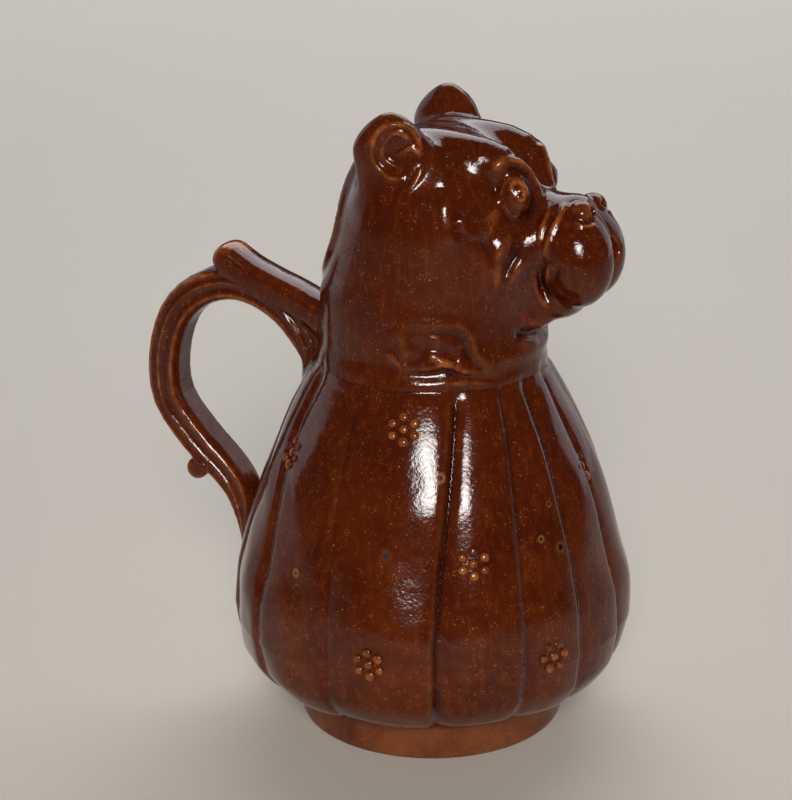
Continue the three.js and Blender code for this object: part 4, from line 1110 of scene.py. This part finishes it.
@dataclass(frozen=True)
class Glaze:
    """Brown glaze: dark where it pools, orange where it runs thin, flecked, pitted and slightly rippled.

    Scales are waves per metre, and low_body and foot_edge are heights in metres. A range holds the values
    at which a look starts and is full, a share says how strongly it shows, and of two shares the first
    holds everywhere and the second is added in patches or low down.
    """

    name: str = "glazed_stoneware"
    pooled: Colour = (0.014, 0.0018, 0.0006)
    body: Colour = (0.053, 0.0060, 0.0006)
    warm: Colour = (0.118, 0.0205, 0.0022)
    thin: Colour = (0.380, 0.1050, 0.0200)
    fleck: Colour = (0.480, 0.2000, 0.0700)
    clay: Colour = (0.200, 0.0640, 0.0220)
    marks: tuple[Mark, ...] = MARKS
    cloud_scale: float = 38.0
    mottle_scale: float = 260.0
    grain_scale: float = 1500.0
    run_scale: float = 420.0
    run_stretch: Point = (1, 1, 0.12)
    pit_scale: float = 230.0
    pit_patch_scale: float = 90.0
    peel_scale: float = 150.0
    fine_peel_scale: float = 800.0
    low_body: Station = (0.01, 0.13)
    foot_edge: Station = (0.014, 0.018)
    cloud_range: Station = (0.35, 0.7)
    cloud_shares: Station = (0.25, 0.55)
    mottle_range: Station = (0.4, 0.75)
    mottle_shares: Station = (0.2, 0.3)
    run_range: Station = (0.5, 0.75)
    run_share: float = 0.5
    groove_range: Station = (0.06, 0.7)
    groove_share: float = 0.8
    edge_range: Station = (0.18, 1.10)
    edge_patches: Station = (0.35, 0.65)
    edge_shares: Station = (0.3, 0.6)
    foot_patches: Station = (0.3, 0.7)
    foot_shares: Station = (0.2, 0.5)
    speck_range: Station = (0.63, 0.72)
    speck_patches: Station = (0.42, 0.6)
    speck_share: float = 0.7
    pit_range: Station = (0.04, 0.12)
    pit_patches: Station = (0.60, 0.66)
    pit_share: float = 0.8
    mark_middle: float = 0.6
    mark_rim_reach: float = 2.2
    mark_rim_share: float = 0.55
    peel_height: float = 0.6
    fine_peel_height: float = 0.24
    pit_depth: float = 0.6
    speck_roughness: float = 0.15
    pit_roughness: float = 0.3
    cloud_roughness: float = 0.05
    foot_roughness: float = 0.04
    roughness: float = 0.09
    ripple: float = 0.45
    ripple_depth: float = 0.0006
    ior: float = 1.39

    def make(self) -> bpy.types.Material:
        """Build the glaze's material.

        Returns:
            The material.
        """
        tree = ShaderTree(self.name)
        place = tree.place()
        cloud = tree.noise(place, self.cloud_scale, detail=4.0, rough=0.6)
        mottle = tree.noise(place, self.mottle_scale, detail=3.0, rough=0.6)
        grain = tree.noise(place, self.grain_scale, detail=2.0, rough=0.6)
        height = tree.node("ShaderNodeSeparateXYZ", {}, {0: place}, "Z")
        foot = 1 - height.smooth(*self.foot_edge)
        colour = self.coat(tree, cloud, mottle, height)
        plain, patchy = self.foot_shares
        colour = tree.mix(foot * (plain + cloud.smooth(*self.foot_patches) * patchy), colour, self.clay)
        speck = grain.smooth(*self.speck_range) * mottle.smooth(*self.speck_patches)
        colour = tree.mix(speck * self.speck_share, colour, self.fleck)
        colour, pit = self.flaws(tree, place, colour)
        peel = tree.noise(place, self.peel_scale, detail=2.0, rough=0.45) * self.peel_height
        fine_peel = tree.noise(place, self.fine_peel_scale, detail=2.0, rough=0.5) * self.fine_peel_height
        surface = peel + fine_peel - pit * self.pit_depth
        rippled = {"Strength": self.ripple, "Distance": self.ripple_depth, "Height": surface}
        bump = tree.node("ShaderNodeBump", {}, rippled)
        rough = self.roughness + speck * self.speck_roughness + pit * self.pit_roughness
        rough = rough + cloud * self.cloud_roughness + foot * self.foot_roughness
        finish = {"Base Color": colour, "Roughness": rough, "IOR": self.ior, "Normal": bump}
        return tree.finish(tree.node("ShaderNodeBsdfPrincipled", {}, finish))

    def coat(self, tree: ShaderTree, cloud: Socket, mottle: Socket, height: Socket) -> Socket:
        """Colour the glaze: warmer towards the bottom, and by its thickness dark in grooves and thin on
        ridges.

        Args:
            tree: the material's tree.
            cloud: broad noise.
            mottle: fine noise.
            height: height above the table.

        Returns:
            The colour.
        """
        # Warmer towards the bottom.
        low = 1 - height.smooth(*self.low_body)
        plain, lower = self.cloud_shares
        broad = cloud.smooth(*self.cloud_range) * (plain + low * lower)
        plain, lower = self.mottle_shares
        small = mottle.smooth(*self.mottle_range) * (plain + low * lower)
        colour = tree.mix(broad + small, self.body, self.warm)
        runs = tree.noise(tree.place(self.run_stretch), self.run_scale, detail=2.0, rough=0.5)
        colour = tree.mix(runs.smooth(*self.run_range) * self.run_share, colour, self.warm)
        ridge = tree.attribute("ridge")
        groove = (ridge * -1).smooth(*self.groove_range)
        colour = tree.mix(groove * self.groove_share, colour, self.pooled)
        plain, patchy = self.edge_shares
        bare = ridge.smooth(*self.edge_range) * (plain + mottle.smooth(*self.edge_patches) * patchy)
        return tree.mix(bare, colour, self.thin)

    def flaws(self, tree: ShaderTree, place: Socket, colour: Socket) -> tuple[Socket, Socket]:
        """Add pinholes in patches and the marks.

        Args:
            tree: the material's tree.
            place: coordinates.
            colour: the glaze's colour so far.

        Returns:
            The colour, and how deep each place is pitted.
        """
        cells = {"Vector": place, "Scale": self.pit_scale, "Randomness": 1.0}
        middle = tree.node("ShaderNodeTexVoronoi", {"feature": "F1"}, cells, "Distance")
        patch = tree.noise(place, self.pit_patch_scale, detail=1.0, rough=0.4).smooth(*self.pit_patches)
        pit = (1 - middle.smooth(*self.pit_range)) * patch
        colour = tree.mix(pit * self.pit_share, colour, self.pooled)
        for mark in self.marks:
            centre = tuple(value * MM for value in mark.place)
            reach = mark.size * MM
            settings = {"operation": "DISTANCE"}
            away = tree.node("ShaderNodeVectorMath", settings, {0: place, 1: centre}, "Value")
            rim = 1 - away.smooth(reach, reach * self.mark_rim_reach)
            colour = tree.mix(rim * (mark.rim * self.mark_rim_share), colour, self.fleck)
            hole = 1 - away.smooth(reach * self.mark_middle, reach)
            colour = tree.mix(hole, colour, mark.middle)
            pit = pit + hole * mark.rim
        return colour, pit


@dataclass(frozen=True)
class Paper:
    """Plain matte paper of the studio floor."""

    name: str = "studio_paper"
    colour: Colour = (0.63, 0.58, 0.51)

    def make(self) -> bpy.types.Material:
        """Build the paper's material.

        Returns:
            The material.
        """
        tree = ShaderTree(self.name)
        shade = tree.noise(tree.place(), 3.0, 2.0, 0.5)
        colour = tree.mix(shade, self.colour, tuple(value * 0.96 for value in self.colour))
        finish = {"Base Color": colour, "Roughness": 0.9}
        return tree.finish(tree.node("ShaderNodeBsdfPrincipled", {}, finish))


# Pieces


def plain_object(name: str, mesh: bpy.types.Mesh) -> bpy.types.Object:
    """Put a mesh in the scene as an unturned object at the origin.

    Args:
        name: the object's name.
        mesh: its mesh.

    Returns:
        The object.
    """
    made = bpy.data.objects.new(name, mesh)
    bpy.context.scene.collection.objects.link(made)
    return made


def baked(made: bpy.types.Object) -> bpy.types.Mesh:
    """Turn an object with modifiers into a plain mesh.

    Args:
        made: the object.

    Returns:
        Its evaluated mesh.
    """
    graph = bpy.context.evaluated_depsgraph_get()
    whole = made.evaluated_get(graph)
    return bpy.data.meshes.new_from_object(whole, preserve_all_data_layers=True, depsgraph=graph)


def corners_of(mesh: bpy.types.Mesh) -> Array:
    """Read a mesh's corners in millimetres, one a row."""
    flat = np.empty(len(mesh.vertices) * 3, np.float32)
    mesh.vertices.foreach_get("co", flat)
    return flat.reshape(-1, 3) / MM


def set_corners(mesh: bpy.types.Mesh, corners: Array) -> None:
    """Write a mesh's corners from millimetres."""
    mesh.vertices.foreach_set("co", np.ascontiguousarray(corners * MM, dtype=np.float32).ravel())
    mesh.update()


def keep_number(mesh: bpy.types.Mesh, name: str, values: Array) -> None:
    """Keep one number for each corner of a mesh."""
    mesh.attributes.new(name, "FLOAT", "POINT").data.foreach_set("value", values.astype(np.float32))


@dataclass(frozen=True)
class Pot:
    """The whole pot: a fine skin settled onto its form, and its plain hollow."""

    form: PitcherForm = PitcherForm()
    voxel: float = 0.9
    most_triangles: int = 188_000
    skin_reach: float = 2.2
    fine_bend: float = 1.0
    broad_bend: float = 2.6
    fine_share: float = 0.6
    broad_share: float = 0.8

    def build(self, node: bpy.types.Object) -> bpy.types.Object:
        """Dress the solid with its fine skin.

        Args:
            node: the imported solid.

        Returns:
            The piece that stands for it.
        """
        made = plain_object("pitcher_skin", node.data.copy())
        fine = self.remesh(made)
        made.modifiers.clear()
        made.data = fine
        self.settle(fine)
        triangles = sum(len(face.vertices) - 2 for face in fine.polygons)
        thin = made.modifiers.new("thin", "DECIMATE")
        thin.ratio = min(1.0, self.most_triangles / triangles)
        thin.use_collapse_triangulate = True
        light = baked(made)
        made.modifiers.clear()
        made.data = light
        skin = self.settle(light)
        self.shade(light, skin)
        return made

    def remesh(self, made: bpy.types.Object) -> bpy.types.Mesh:
        """Draw a solid's surface again in small even faces.

        Args:
            made: an object that holds the solid's triangles.

        Returns:
            The new mesh.
        """
        made.modifiers.new("weld", "WELD").merge_threshold = 1e-6
        voxels = made.modifiers.new("remesh", "REMESH")
        voxels.mode, voxels.voxel_size, voxels.adaptivity = "VOXEL", self.voxel * MM, 0.0
        return baked(made)

    def settle(self, mesh: bpy.types.Mesh) -> Array:
        """Move the outer corners of a mesh onto the form.

        Args:
            mesh: the mesh, near the form.

        Returns:
            True for each corner that belongs to the outer skin.
        """
        corners = corners_of(mesh)
        skin = self.form.distance(corners) > -self.skin_reach
        corners[skin] = self.form.settle(corners[skin])
        corners[:, 2] = np.maximum(corners[:, 2], 0)
        set_corners(mesh, corners)
        return skin

    def shade(self, mesh: bpy.types.Mesh, skin: Array) -> None:
        """Give a settled mesh smooth normals and the bend that the glaze reads.

        Args:
            mesh: the settled mesh.
            skin: which corners belong to the outer skin.
        """
        mesh.shade_smooth()
        corners = corners_of(mesh)
        ridge = np.zeros(len(corners), np.float32)
        fine = self.form.bend(corners[skin], self.fine_bend)
        broad = self.form.bend(corners[skin], self.broad_bend)
        ridge[skin] = np.clip(self.fine_share * fine + self.broad_share * broad, -2, 2)
        keep_number(mesh, "ridge", ridge)
        normal = np.empty(len(corners) * 3, np.float32)
        mesh.vertex_normals.foreach_get("vector", normal)
        normal = normal.reshape(-1, 3)
        normal[skin] = self.form.slope(corners[skin])
        mesh.normals_split_custom_set_from_vertices(normal.tolist())


@dataclass(frozen=True)
class BeadFlowers:
    """Small applied flowers, a bead with six round it, scattered over the pleats by a node tree."""

    form: PitcherForm = PitcherForm()
    spots: tuple[Station, ...] = (
        (80.5, 137), (132.6, 119.5), (56.3, 90.5), (0.3, 112.6), (86.3, 52.6), (33.5, 50.8),
    )
    bead: float = 2.1
    ring: float = 4.7
    petals: int = 6
    height: float = 0.6
    petal_sizes: Station = (0.88, 1.08)
    seed: int = 7
    middle_angle: float = 5.0
    first_lift: float = 1.0
    settle_rounds: int = 3
    facing_step: float = 4.0

    def centres(self) -> tuple[Array, Array]:
        """Find where the flowers sit.

        Returns:
            Their places in millimetres and the way each faces.
        """
        rows = []
        for angle, z in self.spots:
            for side in (-1, 1) if abs(angle) > self.middle_angle else (-1,):
                turn = math.radians(side * angle)
                out = float(self.form.body.radius(np.array([z]))[0]) + self.first_lift
                rows.append((out * math.cos(turn), out * math.sin(turn), z))
        places = np.array(rows)
        for _ in range(self.settle_rounds):
            places = self.form.settle(places)
        return places, self.form.slope(places, self.facing_step)

    def tree(self, glaze: bpy.types.Material) -> bpy.types.NodeTree:
        """Build the node tree that sets a flower on every point.

        Args:
            glaze: the material of the beads.

        Returns:
            The node tree.
        """
        group = bpy.data.node_groups.new("bead flowers", "GeometryNodeTree")
        face = group.interface
        face.new_socket("Geometry", in_out="INPUT", socket_type="NodeSocketGeometry")
        kinds = {"Bead": "Float", "Ring": "Float", "Height": "Float", "Petals": "Int", "Seed": "Int"}
        for name, kind in kinds.items():
            face.new_socket(name, in_out="INPUT", socket_type=f"NodeSocket{kind}")
        face.new_socket("Geometry", in_out="OUTPUT", socket_type="NodeSocketGeometry")
        nodes, links = group.nodes, group.links

        def add(kind: str, settings: dict | None = None, **values: object) -> bpy.types.Node:
            """Add a node, its settings first and then its inputs."""
            made = nodes.new(kind)
            for key, value in (settings or {}).items():
                setattr(made, key, value)
            for key, value in values.items():
                target = made.inputs[key.replace("_", " ")]
                if isinstance(value, bpy.types.NodeSocket):
                    links.new(value, target)
                else:
                    target.default_value = value
            return made

        given = add("NodeGroupInput").outputs
        ball = add("GeometryNodeMeshIcoSphere", Radius=given["Bead"], Subdivisions=3).outputs["Mesh"]
        squash = add("ShaderNodeCombineXYZ", X=1.0, Y=1.0, Z=given["Height"]).outputs[0]
        bead = add("GeometryNodeTransform", Geometry=ball, Scale=squash).outputs[0]
        round_ring = {"Vertices": given["Petals"], "Radius": given["Ring"]}
        circle = add("GeometryNodeMeshCircle", **round_ring).outputs["Mesh"]
        petal_size = add("FunctionNodeRandomValue", {"data_type": "FLOAT"}, Seed=given["Seed"])
        petal_size.inputs[2].default_value, petal_size.inputs[3].default_value = self.petal_sizes
        round_it = {"Points": circle, "Instance": bead, "Scale": petal_size.outputs[1]}
        petals = add("GeometryNodeInstanceOnPoints", **round_it).outputs[0]
        flower = nodes.new("GeometryNodeJoinGeometry")
        links.new(petals, flower.inputs[0])
        links.new(bead, flower.inputs[0])
        whole = add("GeometryNodeRealizeInstances", Geometry=flower.outputs[0]).outputs[0]
        facing = add("GeometryNodeInputNamedAttribute", {"data_type": "FLOAT_VECTOR"}, Name="facing")
        outward = facing.outputs["Attribute"]
        turned = add("FunctionNodeAlignRotationToVector", {"axis": "Z"}, Vector=outward).outputs[0]
        roll = add("FunctionNodeRandomValue", {"data_type": "FLOAT"}, Seed=given["Seed"])
        roll.inputs[2].default_value, roll.inputs[3].default_value = 0.0, 1.0
        spin = add("ShaderNodeCombineXYZ", Z=roll.outputs[1]).outputs[0]
        spun = add("FunctionNodeRotateRotation", {"rotation_space": "LOCAL"}, Rotation=turned)
        turn = add("FunctionNodeEulerToRotation", Euler=spin).outputs[0]
        links.new(turn, spun.inputs[1])
        set_out = {"Points": given["Geometry"], "Instance": whole, "Rotation": spun.outputs[0]}
        placed = add("GeometryNodeInstanceOnPoints", **set_out).outputs[0]
        solid = add("GeometryNodeRealizeInstances", Geometry=placed).outputs[0]
        smooth = add("GeometryNodeSetShadeSmooth", Geometry=solid).outputs[0]
        dressed = add("GeometryNodeSetMaterial", Geometry=smooth, Material=glaze).outputs[0]
        out = nodes.new("NodeGroupOutput")
        links.new(dressed, out.inputs[0])
        return group

    def build(self, glaze: bpy.types.Material) -> bpy.types.Object:
        """Make all flowers as one piece.

        Args:
            glaze: the material of the beads.

        Returns:
            The piece.
        """
        places, facing = self.centres()
        mesh = bpy.data.meshes.new("bead_flowers")
        mesh.from_pydata((places * MM).tolist(), [], [])
        ways = mesh.attributes.new("facing", "FLOAT_VECTOR", "POINT")
        ways.data.foreach_set("vector", facing.astype(np.float32).ravel())
        made = plain_object("bead_flowers", mesh)
        made.data.materials.append(glaze)
        modifier = made.modifiers.new("flowers", "NODES")
        modifier.node_group = self.tree(glaze)
        inputs = {
            "Bead": self.bead * MM,
            "Ring": self.ring * MM,
            "Height": self.height,
            "Petals": self.petals,
            "Seed": self.seed,
        }
        for item in modifier.node_group.interface.items_tree:
            if item.item_type == "SOCKET" and item.in_out == "INPUT" and item.name in inputs:
                modifier[item.identifier] = inputs[item.name]
        plain = baked(made)
        made.modifiers.clear()
        made.data = plain
        for name in [one.name for one in plain.attributes if one.name == "facing"]:
            plain.attributes.remove(plain.attributes[name])
        corners = corners_of(plain)
        keep_number(plain, "ridge", np.clip(self.form.distance(corners) * 0.9 - 0.2, -0.5, 0.9))
        return made


# Stage


@dataclass(frozen=True)
class Lamp:
    """A soft oblong light, in metres, watts and degrees."""

    name: str
    place: Point
    aim: Point
    size: Station
    power: float
    colour: Colour
    spread: float = 180.0

    def hang(self) -> None:
        """Put the light in the scene."""
        data = bpy.data.lights.new(self.name, "AREA")
        data.shape = "RECTANGLE"
        data.size, data.size_y = self.size
        data.energy, data.color, data.spread = self.power, self.colour, math.radians(self.spread)
        made = bpy.data.objects.new(self.name, data)
        bpy.context.scene.collection.objects.link(made)
        made.location = self.place
        made.rotation_euler = (Vector(self.aim) - Vector(self.place)).to_track_quat("-Z", "Y").to_euler()


@dataclass(frozen=True)
class Studio:
    """Plain pale floor, soft lights and the camera at the photograph's angle."""

    focal: float = 102.6
    shift: float = -0.045
    azimuth: float = 21.0
    pitch: float = 18.8
    back: float = 0.857
    height: float = 0.4236
    sensor: float = 36.0
    view_depth: Station = (0.05, 50.0)
    floor_size: float = 8.0
    world_colour: Colour = (0.55, 0.57, 0.62)
    world_strength: float = 0.10
    lamps: tuple[Lamp, ...] = (
        Lamp("key", (0.78, -2.10, 1.20), (0, 0, 0.13), (0.74, 0.86), 2.4, (1.0, 0.97, 0.93), 30.0),
        Lamp("wash", (-0.9, 3.2, 3.2), (-0.5, 1.6, 0.0), (4.4, 3.4), 150.0, (0.93, 0.96, 1.0)),
        Lamp("left panel", (-2.36, 0.80, 0.70), (0, 0, 0.13), (2.2, 1.8), 9.0, (0.9, 0.92, 1.0)),
        Lamp("right panel", (1.20, 2.20, 0.70), (0, 0, 0.13), (1.6, 1.8), 8.0, (0.9, 0.92, 1.0)),
    )

    def camera(self) -> None:
        """Set up the camera."""
        turn, tilt = math.radians(self.azimuth), math.radians(self.pitch)
        data = bpy.data.cameras.new("camera")
        data.lens, data.sensor_width, data.shift_x = self.focal, self.sensor, self.shift
        data.clip_start, data.clip_end = self.view_depth
        made = bpy.data.objects.new("camera", data)
        bpy.context.scene.collection.objects.link(made)
        made.location = (self.back * math.sin(turn), -self.back * math.cos(turn), self.height)
        look = Vector((-math.sin(turn) * math.cos(tilt), math.cos(turn) * math.cos(tilt), -math.sin(tilt)))
        made.rotation_euler = look.to_track_quat("-Z", "Y").to_euler()
        bpy.context.scene.camera = made

    def build(self) -> None:
        """Set up floor, lights, world and camera."""
        half = self.floor_size / 2
        mesh = bpy.data.meshes.new("floor")
        corners = [(-half, -half, 0), (half, -half, 0), (half, half, 0), (-half, half, 0)]
        mesh.from_pydata(corners, [], [(0, 1, 2, 3)])
        floor = plain_object("floor", mesh)
        mesh.materials.append(Paper().make())
        for lamp in self.lamps:
            lamp.hang()
        world = bpy.data.worlds.new("world")
        world.use_nodes = True
        background = world.node_tree.nodes["Background"]
        background.inputs[0].default_value = (*self.world_colour, 1)
        background.inputs[1].default_value = self.world_strength
        bpy.context.scene.world = world
        bpy.context.scene.view_settings.view_transform = "Standard"
        self.camera()


def main() -> None:
    """Load the frame, dress the part and set the stage."""
    logging.basicConfig(level=logging.INFO, format="%(name)s: %(message)s")
    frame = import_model()
    Studio().build()
    glaze = Glaze().make()
    pot = Pot().build(frame["nodes"]["pitcher"])
    pot.data.materials.clear()
    pot.data.materials.append(glaze)
    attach(pot, "root")
    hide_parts("pitcher")
    log.info("%s: %d triangles", pot.name, len(pot.data.polygons))
    flowers = BeadFlowers().build(glaze)
    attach(flowers, "root")
    log.info("%s: %d triangles", flowers.name, len(flowers.data.polygons))


if __name__ == "__main__":
    main()
